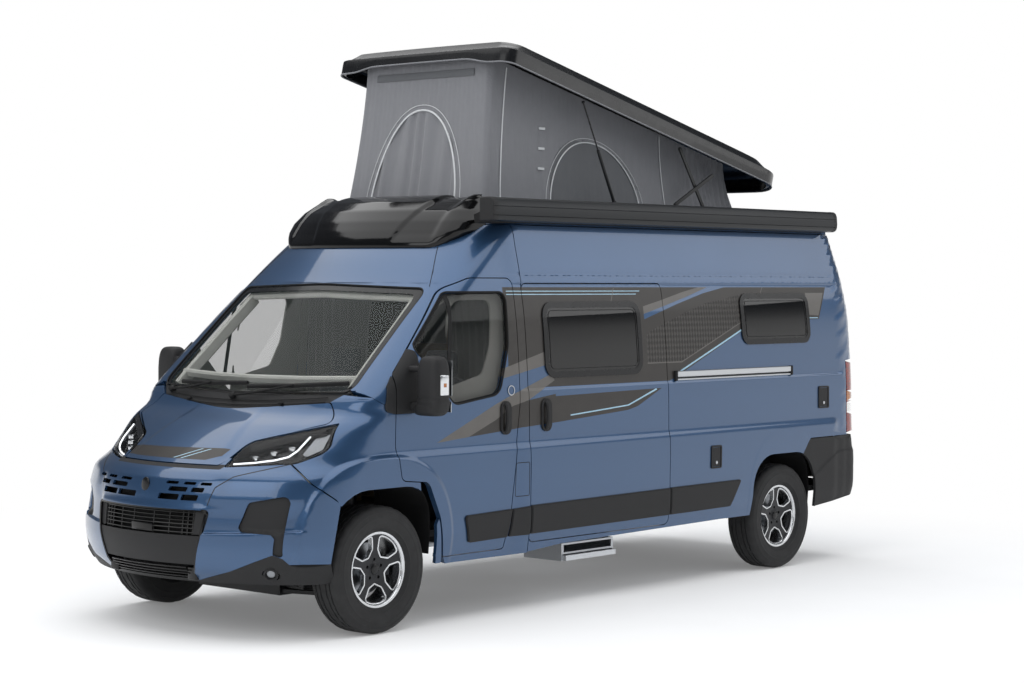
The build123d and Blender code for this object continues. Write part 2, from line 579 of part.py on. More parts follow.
# ---- front suspension: subframe, lower arms, struts, steering rack, driveshafts ----
KNUCKLE_LOW = 215.0
KNUCKLE_HIGH = 520.0
EYE_T = 22.0
EYE_R = 28.0
subframe = block((1860, 2240), (-360, 360), (180, 240))
for side in (-1, 1):
    arm_points = [(FRONT_AXLE_X - 26, side * KINGPIN_Y, 0), (FRONT_AXLE_X + 26, side * KINGPIN_Y, 0),
                  (FRONT_AXLE_X + 170, side * 350, 0), (FRONT_AXLE_X - 170, side * 350, 0)]
    window = [(FRONT_AXLE_X, side * 690, 10)]
    window += [(FRONT_AXLE_X + 100, side * 400, 10), (FRONT_AXLE_X - 100, side * 400, 10)]
    arm_z = (KNUCKLE_LOW - FIT - EYE_T, KNUCKLE_LOW - FIT)
    arm = plan_prism(arm_points, *arm_z) - plan_prism(window, 0, 400)
    eye_low = (FRONT_AXLE_X, side * KINGPIN_Y, arm_z[0])
    arm = arm + rod(eye_low, (FRONT_AXLE_X, side * KINGPIN_Y, arm_z[1]), EYE_R)
    strut_top = (FRONT_AXLE_X, side * STRUT_Y, APRON_TOP - TOWER_T - FIT)
    strut = rod((FRONT_AXLE_X, side * STRUT_Y, KNUCKLE_HIGH + FIT), strut_top, 28)
    spring = rod((FRONT_AXLE_X, side * STRUT_Y, 690), strut_top, SPRING_R)
    bracket = block((FRONT_AXLE_X - EYE_R, FRONT_AXLE_X + EYE_R), sorted((side * STRUT_Y, side * KINGPIN_Y)),
                    (KNUCKLE_HIGH + FIT, KNUCKLE_HIGH + FIT + EYE_T))
    bracket = bracket + rod((FRONT_AXLE_X, side * KINGPIN_Y, KNUCKLE_HIGH + FIT),
                            (FRONT_AXLE_X, side * KINGPIN_Y, KNUCKLE_HIGH + FIT + EYE_T), EYE_R)
    pin = rod((FRONT_AXLE_X, side * KINGPIN_Y, 0), (FRONT_AXLE_X, side * KINGPIN_Y, 800), KINGPIN_R + FIT)
    shaft = rod((FRONT_AXLE_X, side * (ENGINE_HALF_W + FIT), TYRE_R),
                (FRONT_AXLE_X, side * (KINGPIN_Y - UPRIGHT_R - GAP), TYRE_R), 18)
    subframe = fused(subframe, arm - pin)
    subframe = subframe + block((RACK_X - 20, RACK_X + 20), sorted((side * 280, side * 330)), (240, RACK_Z))
    suspension = fused(strut, spring, bracket) - pin
    if side < 0:
        struts = [suspension, shaft]
    else:
        struts += [suspension, shaft]
subframe = subframe + rod((RACK_X, -RACK_HALF_W, RACK_Z), (RACK_X, RACK_HALF_W, RACK_Z), 22)
for side in (-1, 1):
    hanger = block((1900, 2200), sorted((side * 340, side * (RAIL_Y + 20))), (225, 240))
    hanger_y = sorted((side * (RAIL_Y - 20), side * (RAIL_Y + 20)))
    for hanger_x in ((1900, 1960), (2140, 2200)):
        hanger = hanger + block(hanger_x, hanger_y, (225, RAIL_BOTTOM - FIT))
    subframe = subframe + hanger
save("front_suspension", subframe, *struts)

# ---- wheel, built at the left-hand side round its own centre ----
tyre_half = [(BEAD_R + FIT, RIM_HALF_W - 0.5), (RIM_R + 3, RIM_HALF_W - 0.5), (RIM_R + 9, 96),
             (290, TYRE_W / 2), (352, 102), (TYRE_R, 76)]
tyre_ring = tyre_half + [(r, -y) for r, y in reversed(tyre_half)]
rim_half = [(BEAD_R - RIM_T, RIM_HALF_W + 6), (RIM_R, RIM_HALF_W + 6), (RIM_R, RIM_HALF_W),
            (BEAD_R, RIM_HALF_W)]
rim_ring = rim_half + [(r, -y) for r, y in reversed(rim_half)]


def revolved(points):
    face = make_face(Polyline(*points, close=True))
    return revolve(face, Axis.Y, 360)


tyre = revolved(tyre_ring)
face_disc = rod((0, FACE_Y[0], 0), (0, FACE_Y[1], 0), BEAD_R - RIM_T + 1)
for k in range(SPOKES):
    turn = 2 * pi * (k + 0.5) / SPOKES
    window = [(r * sin(turn + a), r * cos(turn + a), 9) for r, a in (
        (178, -0.40), (186, 0), (178, 0.40), (112, 0.44), (78, 0), (112, -0.44))]
    face_disc = face_disc - side_prism(window, FACE_Y[0] - 5, FACE_Y[1] + 5)
rim = revolved(rim_ring) + face_disc
rim = rim + rod((0, DISC_Y[0], 0), (0, FACE_Y[1] + 12, 0), HUB_R)
rim = rim + rod((0, DISC_Y[0], 0), (0, DISC_Y[1], 0), DISC_R)
rim = rim - rod((0, DISC_Y[0] - 5, 0), (0, STUB_END_Y + GAP, 0), STUB_R + FIT)
for k in range(SPOKES):
    turn = 2 * pi * k / SPOKES
    spot = (BOLT_CIRCLE / 2 * sin(turn), BOLT_CIRCLE / 2 * cos(turn))
    rim = rim - rod((spot[0], FACE_Y[1] + 2, spot[1]), (spot[0], FACE_Y[1] + 13, spot[1]), BOLT_R)
WHEELS = {
    "front_left": (FRONT_AXLE_X, FRONT_TRACK / 2, 1),
    "front_right": (FRONT_AXLE_X, FRONT_TRACK / 2, -1),
    "rear_left": (REAR_AXLE_X, REAR_TRACK / 2, 1),
    "rear_right": (REAR_AXLE_X, REAR_TRACK / 2, -1),
}
for name, (x, y, side) in WHEELS.items():
    for node, shape in (("tyre", tyre), ("rim", rim)):
        placed = Pos(x, y, TYRE_R) * shape
        save(f"{node}_{name}", placed if side > 0 else mirrored(placed))


def caliper(axle_x, wheel_y, mount_y):
    """Brake caliper behind the axle, on a bracket from mount_y, with a slot for the disc."""
    inner, outer_face = wheel_y + DISC_Y[0], wheel_y + DISC_Y[1]
    body = block((axle_x - 170, axle_x - 104), (inner - 16, outer_face + 16), (TYRE_R - 52, TYRE_R + 52))
    slot = rod((axle_x, inner - 5, TYRE_R), (axle_x, outer_face + 5, TYRE_R), DISC_R + 5)
    arm = block((axle_x - 170, axle_x), (mount_y, inner - 10), (TYRE_R - 25, TYRE_R + 25))
    return (body - slot) + arm


# ---- steering knuckles ----
wheel_y = FRONT_TRACK / 2
knuckle = fused(
    rod((FRONT_AXLE_X, KINGPIN_Y, KNUCKLE_LOW), (FRONT_AXLE_X, KINGPIN_Y, KNUCKLE_HIGH), UPRIGHT_R),
    rod((FRONT_AXLE_X, KINGPIN_Y, KNUCKLE_LOW - EYE_T),
        (FRONT_AXLE_X, KINGPIN_Y, KNUCKLE_HIGH + EYE_T), KINGPIN_R),
    rod((FRONT_AXLE_X, KINGPIN_Y, TYRE_R), (FRONT_AXLE_X, wheel_y + STUB_END_Y, TYRE_R), STUB_R),
    rod((FRONT_AXLE_X, KINGPIN_Y, RACK_Z), (RACK_X, KINGPIN_Y - 30, RACK_Z), 12),
    caliper(FRONT_AXLE_X, wheel_y, KINGPIN_Y),
)
save("knuckle_left", knuckle)
save("knuckle_right", mirrored(knuckle))

# ---- rear axle: beam, stub axles, calipers, leaf springs and their hangers ----
wheel_y = REAR_TRACK / 2
axle = rod((REAR_AXLE_X, -BEAM_END_Y, TYRE_R), (REAR_AXLE_X, BEAM_END_Y, TYRE_R), BEAM_R)
half_axle = fused(
    rod((REAR_AXLE_X, BEAM_END_Y - 20, TYRE_R), (REAR_AXLE_X, wheel_y + STUB_END_Y, TYRE_R), STUB_R),
    caliper(REAR_AXLE_X, wheel_y, BEAM_END_Y - 20),
)
spring_z = TYRE_R - BEAM_R - SPRING_T
under_side = [(690, 406), (640, 406), (0, spring_z), (-640, 406), (-690, 406)]
upper_side = [(-690, 420), (-640, 420), (0, spring_z + SPRING_T + 6), (640, 420), (690, 420)]
leaf = [(REAR_AXLE_X + x, min(z, RAIL_BOTTOM - FIT), 0) for x, z in under_side + upper_side]
half_axle = half_axle + side_prism(leaf, RAIL_Y - 30, RAIL_Y + 30)
axle = fused(axle, half_axle, mirrored(half_axle))
save("rear_axle", axle)

# ---- pop-top: drawn closed, then opened about its hinge line behind the roof ----
HINGE_LINE = Axis((POP_HINGE_X, 0, POP_HINGE_Z), (0, 1, 0))


def opened(shape):
    return shape.rotate(HINGE_LINE, -POP_ANGLE)


def opened_point(x, z):
    """Where a point of the closed roof stands when it is open."""
    a = radians(POP_ANGLE)
    dx, dz = x - POP_HINGE_X, z - POP_HINGE_Z
    return (POP_HINGE_X + dx * cos(a) - dz * sin(a), POP_HINGE_Z + dx * sin(a) + dz * cos(a))


pop_top_z = POP_ROOF[-1].z
pop_shell = hull_solid(POP_ROOF, 0, POP_RIM_Z, pop_top_z)
pop_shell = pop_shell - hull_solid(POP_ROOF, POP_T, POP_RIM_Z - 5, pop_top_z - POP_T)
track_y = POP_HALF_W - POP_T
for side in (-1, 1):
    track_width = sorted((side * (track_y - 14), side * (track_y + 4)))
    track = block((-1620, -900), track_width, (POP_RIM_Z + 5, POP_RIM_Z + 30))
    track = track - block((ARM_B_FOOT[0] - 30, ARM_B_FOOT[0] + 30), track_width, (POP_RIM_Z, POP_RIM_Z + 22))
    lug_width = sorted((side * (STRUT_PLANE_Y + 17), side * (track_y + 4)))
    lug = block((STRUT_TOP[0] - 16, STRUT_TOP[0] + 16), lug_width, (STRUT_TOP[1] - 12, POP_RIM_Z + 20))
    stub = rod((STRUT_TOP[0], side * (track_y + 2), STRUT_TOP[1]),
               (STRUT_TOP[0], side * (STRUT_PLANE_Y + EYE_HALF_T + FIT), STRUT_TOP[1]), EYE_R_STRUT)
    pop_shell = fused(pop_shell, track, lug, stub)
save("pop_roof_shell", opened(pop_shell))

# The tent walls: a wedge open at the top and at the bottom.
front_top = opened_point(TENT_FRONT_X, TENT_TOP_Z)
rear_top = opened_point(TENT_REAR_X, TENT_TOP_Z)
tent_side = [(738, TENT_BASE_Z, 0), (*front_top, 0), (*rear_top, 0), (-1980, TENT_BASE_Z, 0)]
tent = side_prism(tent_side, -TENT_HALF_W, TENT_HALF_W)
core = [(738 - TENT_T, TENT_BASE_Z - 50, 0), (front_top[0] - TENT_T - 5, front_top[1] + 50, 0),
        (rear_top[0] + TENT_T + 5, rear_top[1] + 50, 0), (-1980 + TENT_T, TENT_BASE_Z - 50, 0)]
tent = tent - side_prism(core, -TENT_HALF_W + TENT_T, TENT_HALF_W - TENT_T)
save("tent_canvas", tent)

# Gas struts: cylinder pinned to the roof, rod reaching for the shell.
top = opened_point(*STRUT_TOP)
reach = hypot(top[0] - STRUT_FOOT[0], top[1] - STRUT_FOOT[1])
ux, uz = (top[0] - STRUT_FOOT[0]) / reach, (top[1] - STRUT_FOOT[1]) / reach


def along(distance, y):
    return (STRUT_FOOT[0] + ux * distance, y, STRUT_FOOT[1] + uz * distance)


y = STRUT_PLANE_Y
cylinder = rod(along(12, y), along(STRUT_BODY, y), 11) + rod(
    (STRUT_FOOT[0], y - 8, STRUT_FOOT[1]), (STRUT_FOOT[0], y + 8, STRUT_FOOT[1]), 15)
cylinder = cylinder - rod(along(18, y), along(STRUT_BODY + 1, y), ROD_R + FIT)
foot_pin = rod((STRUT_FOOT[0], y - 9, STRUT_FOOT[1]), (STRUT_FOOT[0], y + 9, STRUT_FOOT[1]), PIN_R + FIT)
cylinder = cylinder - foot_pin
piston = rod(along(STRUT_BODY - 36, y), along(reach - 6, y), ROD_R) + rod(
    (top[0], y - EYE_HALF_T, top[1]), (top[0], y + EYE_HALF_T, top[1]), EYE_R_STRUT)
save("strut_cylinders", *both(cylinder))
save("strut_rods", *both(piston))

# Scissor arms that carry the rear of the shell: flat bars pinned to the roof.


def flat_bar(foot, tip, y):
    length = hypot(tip[0] - foot[0], tip[1] - foot[1])
    nx, nz = -(tip[1] - foot[1]) / length * ARM_HALF_H, (tip[0] - foot[0]) / length * ARM_HALF_H
    points = [(foot[0] + nx, foot[1] + nz, 0), (tip[0] + nx, tip[1] + nz, 0),
              (tip[0] - nx, tip[1] - nz, 0), (foot[0] - nx, foot[1] - nz, 0)]
    bar = side_prism(points, y - ARM_T / 2, y + ARM_T / 2)
    for end in (foot, tip):
        bar = bar + rod((end[0], y - ARM_T / 2, end[1]), (end[0], y + ARM_T / 2, end[1]), ARM_HALF_H)
    return bar - rod((foot[0], y - ARM_T, foot[1]), (foot[0], y + ARM_T, foot[1]), PIN_R + FIT)


save("scissor_arms_a", *both(flat_bar(ARM_A_FOOT, ARM_A_TIP, ARM_A_Y)))
save("scissor_arms_b", *both(flat_bar(ARM_B_FOOT, ARM_B_TIP, ARM_B_Y)))

# Brackets on the roof: one cheek and one pin for each strut and arm.
brackets = []
for (x, z), y, cheek in ((STRUT_FOOT, STRUT_PLANE_Y, 1), (ARM_A_FOOT, ARM_A_Y, -1), (ARM_B_FOOT, ARM_B_Y, 1)):
    face = y + cheek * CHEEK_OFF
    plate = block((x - 22, x + 22), sorted((face, face + cheek * 8)), (2440, z + 14)) - outer
    pin = rod((x, face + cheek * 4, z), (x, y - cheek * 8, z), PIN_R)
    brackets += both(plate + pin)
roof = fused(roof, *brackets)
save("roof_panel", roof)

# ---- awning cassette and its adaptor rail ----
awning_profile = [
    (868, 2402, 4), (972, 2400, 18), (990, 2450, 40), (984, 2520, 18), (962, 2545, 14), (868, 2545, 4),
]
cassette = front_prism(awning_profile, *AWNING_X)
adaptor = block((AWNING_X[0] + 30, AWNING_X[1] - 40), (800, 868 - FIT), (2386, 2455)) - outer
save("awning_cassette", cassette, adaptor)

# ---- entrance step under the sliding door ----
step_x = (STEP_X[0], STEP_X[1])
housing = block(step_x, (640, 955), (STEP_Z + 42, STEP_Z + 112)) - block(
    (step_x[0] + 12, step_x[1] - 12), (652, 960), (STEP_Z + 54, STEP_Z + 100))
for x in (step_x[0] - 10, step_x[1]):
    housing = housing + block((x, x + 10), (640, 955), (STEP_Z, STEP_Z + 112))
for x in (step_x[0] + 40, step_x[1] - 80):
    housing = housing + block((x, x + 40), (700, 900), (STEP_Z + 112, FLOOR_TOP - FLOOR_T - FIT))
tread = block((step_x[0] + FIT, step_x[1] - FIT), (660, 985), (STEP_Z + 4, STEP_Z + 36))
tread = tread - block((step_x[0] + 20, step_x[1] - 20), (680, 940), (STEP_Z - 1, STEP_Z + 28))
save("step_housing", housing)
save("step_tread", tread)

# ---- mirrors ----
mirror_head = block((1700, 1855), (1068, 1254), (1250, 1600))
mirror_head = fillet(mirror_head.edges(), 32)
arm_low = block((1760, 1840), (985, 1100), (1272, 1330))
arm_high = block((1775, 1835), (985, 1100), (1505, 1540))
plate = side_prism(MIRROR_PLATE, 800, FAR) & (proud - outer)
mirror_solid = fused(mirror_head, arm_low - outer, arm_high - outer, plate)
save("mirror_left", mirror_solid)
save("mirror_right", mirrored(mirror_solid))

# ---- tail lamps, rub strips, sliding rail ----
save("tail_lamps", tail_lamp, mirrored(tail_lamp))
trim_skin = proud - outer
strip_left = [
    [(-634 + GAP / 2, 488, 0), (776 - GAP / 2, 480, 0), (776 - GAP / 2, 652, 0), (-634 + GAP / 2, 664, 0)],
    [(-1315, 496, 0), (-634 - GAP / 2, 490, 0), (-634 - GAP / 2, 666, 0), (-1440, 670, 0)],
]
rail_points = [(-2085, 1372, 0), (-708, 1372, 0), (-708, 1438, 0), (-2085, 1438, 0)]
trims = [trim_skin & side_prism(points, 500, FAR) for points in (*strip_left, rail_points)]
right_strip = [(-1315, 496, 0), (776 - GAP / 2, 480, 0), (776 - GAP / 2, 652, 0), (-1440, 670, 0)]
trims.append(mirrored(trim_skin & side_prism(right_strip, 500, FAR)))
save("side_trim", *trims)

# ---- cab and living space ----
dash_side = [(FIREWALL_X - FIT, 1330, 0), (1640, 1290, 60), (1530, 1180, 50), (1560, 980, 60),
             (1660, 820, 40), (FIREWALL_X - FIT, 820, 0)]
dashboard = side_prism(dash_side, -DASH_HALF_W, DASH_HALF_W)
dashboard = dashboard - side_prism(grown(FRONT_ARCH, LINER_T + GAP), -FAR, FAR)
column_tilt = radians(COLUMN_TILT)
wheel_center = Vector(STEERING_X, STEERING_Y, STEERING_Z)
column_dir = Vector(cos(column_tilt), 0, -sin(column_tilt))
column = Solid.make_cylinder(28, 300, Plane(origin=wheel_center + column_dir * (30 + FIT), z_dir=column_dir))
save("dashboard", dashboard + column)
steer_plane = Plane(origin=wheel_center, z_dir=column_dir)
steering = Solid.make_torus(STEERING_R, 15, steer_plane)
hub_plane = Plane(origin=wheel_center - column_dir * 20, z_dir=column_dir)
steering = steering + Solid.make_cylinder(42, 50, hub_plane)
for angle in (0, 120, 240):
    spoke = steer_plane * (Rot(0, 0, angle + 90) * Pos(STEERING_R / 2, 0, 0) * Box(STEERING_R, 34, 14))
    steering = steering + spoke
save("steering_wheel", steering)


def cab_seat(y):
    cushion = block((960, 1430), (y - 235, y + 235), (SEAT_Z, SEAT_Z + 130))
    cushion = fillet(cushion.edges(), 30)
    back = fillet(block((870, 1010), (y - 225, y + 225), (SEAT_Z + 60, SEAT_Z + 640)).edges(), 35)
    head = fillet(block((880, 980), (y - 130, y + 130), (SEAT_Z + 620, SEAT_Z + 800)).edges(), 35)
    pedestal = block((980, 1380), (y - 180, y + 180), (FLOOR_TOP + FIT, SEAT_Z - FIT))
    return [fused(cushion, back, head), pedestal]


save("cab_seats", *cab_seat(SEAT_Y), *cab_seat(-SEAT_Y))
floor_z = FLOOR_TOP + FIT
kitchen = fused(
    block((-1480, -560), (500, 520), (floor_z, 1400)), block((-1480, -560), (500, 930), (1400, 1440)),
    block((-580, -560), (500, 930), (floor_z, 1400)), block((-1480, -1460), (500, 930), (floor_z, 1400)))
washroom = fused(
    block((-1480, -560), (-320, -300), (floor_z, 2300)), block((-580, -560), (-930, -300), (floor_z, 2300)),
    block((-1480, -1460), (-930, -300), (floor_z, 2300)))
washroom = washroom & seat
bed = fused(
    block((-1530, -1510), (-920, 920), (floor_z, 900)), block((-2860, -1510), (-920, 920), (900, 1040)))
bench_box = block((-120, 420), (-930, -300), (floor_z, 900))
bench = fused(
    bench_box - block((-100, 400), (-910, -320), (floor_z - 1, 880)),
    block((-120, 420), (-930, -300), (900, 1010)), block((-120, 0), (-930, -300), (1010, 1600)))
table = fused(block((480, 840), (-930, -340), (1180, 1210)), rod((660, -600, floor_z), (660, -600, 1180), 30))
save("furniture", kitchen, washroom, bed & seat, bench & seat, table & seat)
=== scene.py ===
import bpy
import bmesh
import math
import numpy as np
from mathutils import Matrix, Vector
from mathutils.geometry import delaunay_2d_cdt


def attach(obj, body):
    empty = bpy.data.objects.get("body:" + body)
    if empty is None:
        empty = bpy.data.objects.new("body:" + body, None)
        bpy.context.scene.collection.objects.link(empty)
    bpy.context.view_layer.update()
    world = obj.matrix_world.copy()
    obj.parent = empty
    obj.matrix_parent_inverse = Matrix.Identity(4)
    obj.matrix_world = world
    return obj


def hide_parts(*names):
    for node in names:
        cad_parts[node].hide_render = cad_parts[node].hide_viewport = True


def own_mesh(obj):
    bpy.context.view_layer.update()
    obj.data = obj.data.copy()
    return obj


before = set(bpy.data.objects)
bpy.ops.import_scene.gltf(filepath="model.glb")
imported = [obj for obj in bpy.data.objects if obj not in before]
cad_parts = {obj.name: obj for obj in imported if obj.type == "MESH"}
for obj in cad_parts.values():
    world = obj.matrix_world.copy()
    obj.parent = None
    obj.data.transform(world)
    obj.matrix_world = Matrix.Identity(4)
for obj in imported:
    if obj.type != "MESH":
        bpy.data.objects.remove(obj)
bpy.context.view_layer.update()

# Camper van with a raised pop-top. Metres; X forward, Y to the van's left, Z up.
# The body's outer skin is one smooth surface, described by its plan outline at each height:
# height, nose x, nose radius, corner radius, half width, tail x, tail corner radius.
SECTIONS = np.array([
    (0.310, 2.905, 1.40, 0.46, 0.985, -2.900, 0.15), (0.420, 2.975, 1.45, 0.50, 1.001, -2.968, 0.15),
    (0.560, 2.999, 1.45, 0.50, 1.020, -2.999, 0.15), (0.730, 2.982, 1.45, 0.50, 1.022, -2.998, 0.15),
    (0.900, 2.938, 1.45, 0.50, 1.024, -2.972, 0.15), (0.985, 2.822, 1.40, 0.46, 1.022, -2.964, 0.15),
    (1.090, 2.665, 1.70, 0.38, 1.020, -2.962, 0.15), (1.200, 2.480, 2.30, 0.28, 1.019, -2.961, 0.15),
    (1.270, 2.335, 2.90, 0.23, 1.018, -2.960, 0.15), (1.360, 2.250, 3.60, 0.18, 1.014, -2.960, 0.15),
    (1.750, 1.836, 3.20, 0.23, 0.986, -2.958, 0.15), (2.015, 1.550, 2.80, 0.28, 0.946, -2.930, 0.15),
    (2.235, 1.335, 2.20, 0.36, 0.897, -2.888, 0.15), (2.400, 1.120, 2.00, 0.40, 0.856, -2.838, 0.15),
    (2.450, 1.020, 1.90, 0.40, 0.820, -2.815, 0.15), (2.510, 0.780, 1.90, 0.40, 0.690, -2.740, 0.15),
])
GAP = 0.006          # open joint between panels
PANEL = 0.040        # skin to lining
WHEEL_R = 0.370
SIDES = ((1, "left"), (-1, "right"))
AXLES = {"front": (2.051, 0.905), "rear": (-1.984, 0.895)}


# ---------------------------------------------------------------- colours and nodes
def rgb(code):
    """sRGB hex to linear RGBA."""
    parts = [int(code[i:i + 2], 16) / 255 for i in (1, 3, 5)]
    return (*[p / 12.92 if p <= 0.04045 else ((p + 0.055) / 1.055) ** 2.4 for p in parts], 1.0)


def add(tree, kind, settings=None, **inputs):
    """One shader node, its settings, and its inputs as values or links (_0 is the first socket)."""
    made = tree.nodes.new("ShaderNode" + kind)
    for key, value in (settings or {}).items():
        setattr(made, key, value)
    for key, value in inputs.items():
        socket = made.inputs[int(key[1:]) if key[0] == "_" else key.replace("_", " ")]
        if isinstance(value, bpy.types.NodeSocket):
            tree.links.new(value, socket)
        else:
            socket.default_value = value
    return made


def surface_of(name, colour, roughness, **sockets):
    """Plain principled surface that a material's pattern is then built on."""
    material = bpy.data.materials.new(name)
    material.use_nodes = True
    tree = material.node_tree
    shader = tree.nodes["Principled BSDF"]
    shader.inputs["Base Color"].default_value = rgb(colour)
    shader.inputs["Roughness"].default_value = roughness
    for key, value in sockets.items():
        shader.inputs[key.replace("_", " ")].default_value = value
    material.diffuse_color = rgb(colour)
    return material, tree, shader


def place(tree):
    return tree.nodes.new("ShaderNodeTexCoord").outputs["Object"]


def mix_colours(tree, factor, low, high):
    low = low if isinstance(low, bpy.types.NodeSocket) else rgb(low)
    high = high if isinstance(high, bpy.types.NodeSocket) else rgb(high)
    return add(tree, "Mix", {"data_type": "RGBA"}, _0=factor, _6=low, _7=high).outputs[2]


def bump_on(tree, shader, height, depth, strength=1.0):
    bump = add(tree, "Bump", Height=height, Distance=depth, Strength=strength)
    tree.links.new(bump.outputs["Normal"], shader.inputs["Normal"])


# ---------------------------------------------------------------- body surface
def monotone_slopes(heights, values):
    """Slopes of a smooth curve through the rows that never overshoots them."""
    step = np.diff(heights)
    rise = np.diff(values) / step
    slopes = np.zeros(len(values))
    for i in range(1, len(values) - 1):
        if rise[i - 1] * rise[i] > 0:
            w1, w2 = 2 * step[i] + step[i - 1], step[i] + 2 * step[i - 1]
            slopes[i] = (w1 + w2) / (w1 / rise[i - 1] + w2 / rise[i])
    slopes[0], slopes[-1] = rise[0], rise[-1]
    return slopes


HEIGHTS = SECTIONS[:, 0]
SLOPES = [monotone_slopes(HEIGHTS, SECTIONS[:, k]) for k in range(1, 7)]


def plan_at(z):
    """Everything about the plan outline at heights z: arc centres, turns and lengths from the nose."""
    z = np.clip(np.asarray(z, float), HEIGHTS[0], HEIGHTS[-1])
    i = np.clip(np.searchsorted(HEIGHTS, z, side="right") - 1, 0, len(HEIGHTS) - 2)
    h = HEIGHTS[i + 1] - HEIGHTS[i]
    t = (z - HEIGHTS[i]) / h
    columns = []
    for k, slopes in enumerate(SLOPES, start=1):
        a, b = SECTIONS[i, k], SECTIONS[i + 1, k]
        columns.append((2 * t**3 - 3 * t**2 + 1) * a + (t**3 - 2 * t**2 + t) * h * slopes[i]
                       + (3 * t**2 - 2 * t**3) * b + (t**3 - t**2) * h * slopes[i + 1])
    return plan_parts(*columns)


def plan_parts(nose_x, nose_r, corner_r, half, tail_x, tail_r):
    """Arc centres, turns and lengths from the nose of one plan outline."""
    nose_c = nose_x - nose_r
    reach = np.sqrt((nose_r - corner_r) ** 2 - (half - corner_r) ** 2)
    corner_x, corner_y = nose_c + reach, half - corner_r
    turn = np.arctan2(corner_y, reach)
    rear_x = tail_x + tail_r
    l1 = nose_r * turn
    l2 = l1 + corner_r * (np.pi / 2 - turn)
    l3 = l2 + corner_x - rear_x
    l4 = l3 + tail_r * np.pi / 2
    return dict(nose_r=nose_r, nose_c=nose_c, corner_r=corner_r, corner_x=corner_x, corner_y=corner_y,
                turn=turn, half=half, tail_x=tail_x, tail_r=tail_r, rear_x=rear_x, l1=l1, l2=l2, l3=l3, l4=l4)


def plan_point(p, s):
    """Where the outline is at distance s from the nose (left positive)."""
    side, a = np.where(s < 0, -1.0, 1.0), np.abs(s)
    nose = a / p["nose_r"]
    corner = p["turn"] + (a - p["l1"]) / p["corner_r"]
    rear = (a - p["l3"]) / p["tail_r"]
    zones = [a < p["l1"], a < p["l2"], a < p["l3"], a < p["l4"]]
    x = np.select(zones, [p["nose_c"] + p["nose_r"] * np.cos(nose),
                          p["corner_x"] + p["corner_r"] * np.cos(corner),
                          p["corner_x"] - (a - p["l2"]), p["rear_x"] - p["tail_r"] * np.sin(rear)],
                  p["tail_x"])
    y = np.select(zones, [p["nose_r"] * np.sin(nose), p["corner_y"] + p["corner_r"] * np.sin(corner),
                          p["half"], p["half"] - p["tail_r"] + p["tail_r"] * np.cos(rear)],
                  p["half"] - p["tail_r"] - (a - p["l4"]))
    return x, side * y


def bare_point(s, z):
    """Skin point at distance s along the outline from the nose (left positive) and height z."""
    x, y = plan_point(plan_at(z), s)
    return np.stack([x, y, np.broadcast_to(z, x.shape)], axis=-1)


def plan_ring(row, whole=True):
    """Points (x, y) of one plan outline, at the same shares of its arcs and runs whatever its size."""
    p = plan_parts(*row)
    middle = p["l4"] + p["half"] - p["tail_r"]
    stops = [0.0, p["l1"], p["l2"], p["l3"]] + ([p["l4"], middle] if whole else [])
    runs = [np.linspace(a, b, n, endpoint=False) for a, b, n in zip(stops, stops[1:], (14, 12, 30, 8, 6))]
    half_ring = np.concatenate(runs + [[stops[-1]]])
    s = np.concatenate([half_ring, -half_ring[1:-1][::-1]]) if whole else np.concatenate(
        [-half_ring[1:][::-1], half_ring])
    return np.stack(plan_point(p, s), axis=1)


def s_from_x(x, z, side=1):
    """Distance along the outline to the point of one side that is at x."""
    p = plan_at(z)
    join = p["corner_x"] + p["corner_r"] * np.cos(p["turn"])
    corner = p["l1"] + p["corner_r"] * (np.arccos(np.clip((x - p["corner_x"]) / p["corner_r"], -1, 1))
                                        - p["turn"])
    nose = p["nose_r"] * np.arccos(np.clip((x - p["nose_c"]) / p["nose_r"], -1, 1))
    rear = p["l3"] + p["tail_r"] * np.arcsin(np.clip((p["rear_x"] - x) / p["tail_r"], 0, 1))
    return side * np.select([x < p["rear_x"], x <= p["corner_x"], x <= join],
                            [rear, p["l2"] + p["corner_x"] - x, corner], nose)


def s_from_y(y, z):
    """Distance along the outline to the point of the nose that is at y."""
    p = plan_at(z)
    a = np.abs(y)
    nose = p["nose_r"] * np.arcsin(np.clip(a / p["nose_r"], 0, 1))
    corner = p["l1"] + p["corner_r"] * (np.arcsin(np.clip((a - p["corner_y"]) / p["corner_r"], -1, 1))
                                        - p["turn"])
    return np.where(y < 0, -1, 1) * np.where(nose <= p["l1"], nose, corner)


def s_from_tail_y(y, z):
    """Distance along the outline to the point of the tail that is at y."""
    p = plan_at(z)
    a = np.abs(y)
    flat = p["half"] - p["tail_r"]
    corner = p["l3"] + p["tail_r"] * np.arccos(np.clip((a - flat) / p["tail_r"], 0, 1))
    return np.where(y < 0, -1, 1) * np.where(a <= flat, p["l4"] + flat - a, corner)


def ease(value, low, high):
    """0 below low, 1 above high and smooth between (low may be the larger)."""
    t = np.clip((value - low) / (high - low), 0, 1)
    return t * t * (3 - 2 * t)


# Wheel-arch flares: centre x, centre z, half length, height.
FLARES = ((2.055, 0.45, 0.60, 0.59), (-1.98, 0.42, 0.455, 0.585))
FLARE_POWER = 2.5
FLARE_OUT = 0.016
LOWER_OUT = 0.012    # body side below the lower swage stands this far out
FIELD_IN = 0.007     # the window field is let in this far
FIELD = (-2.715, 0.785, 1.352, 2.022)  # x from, x to, z from, z to


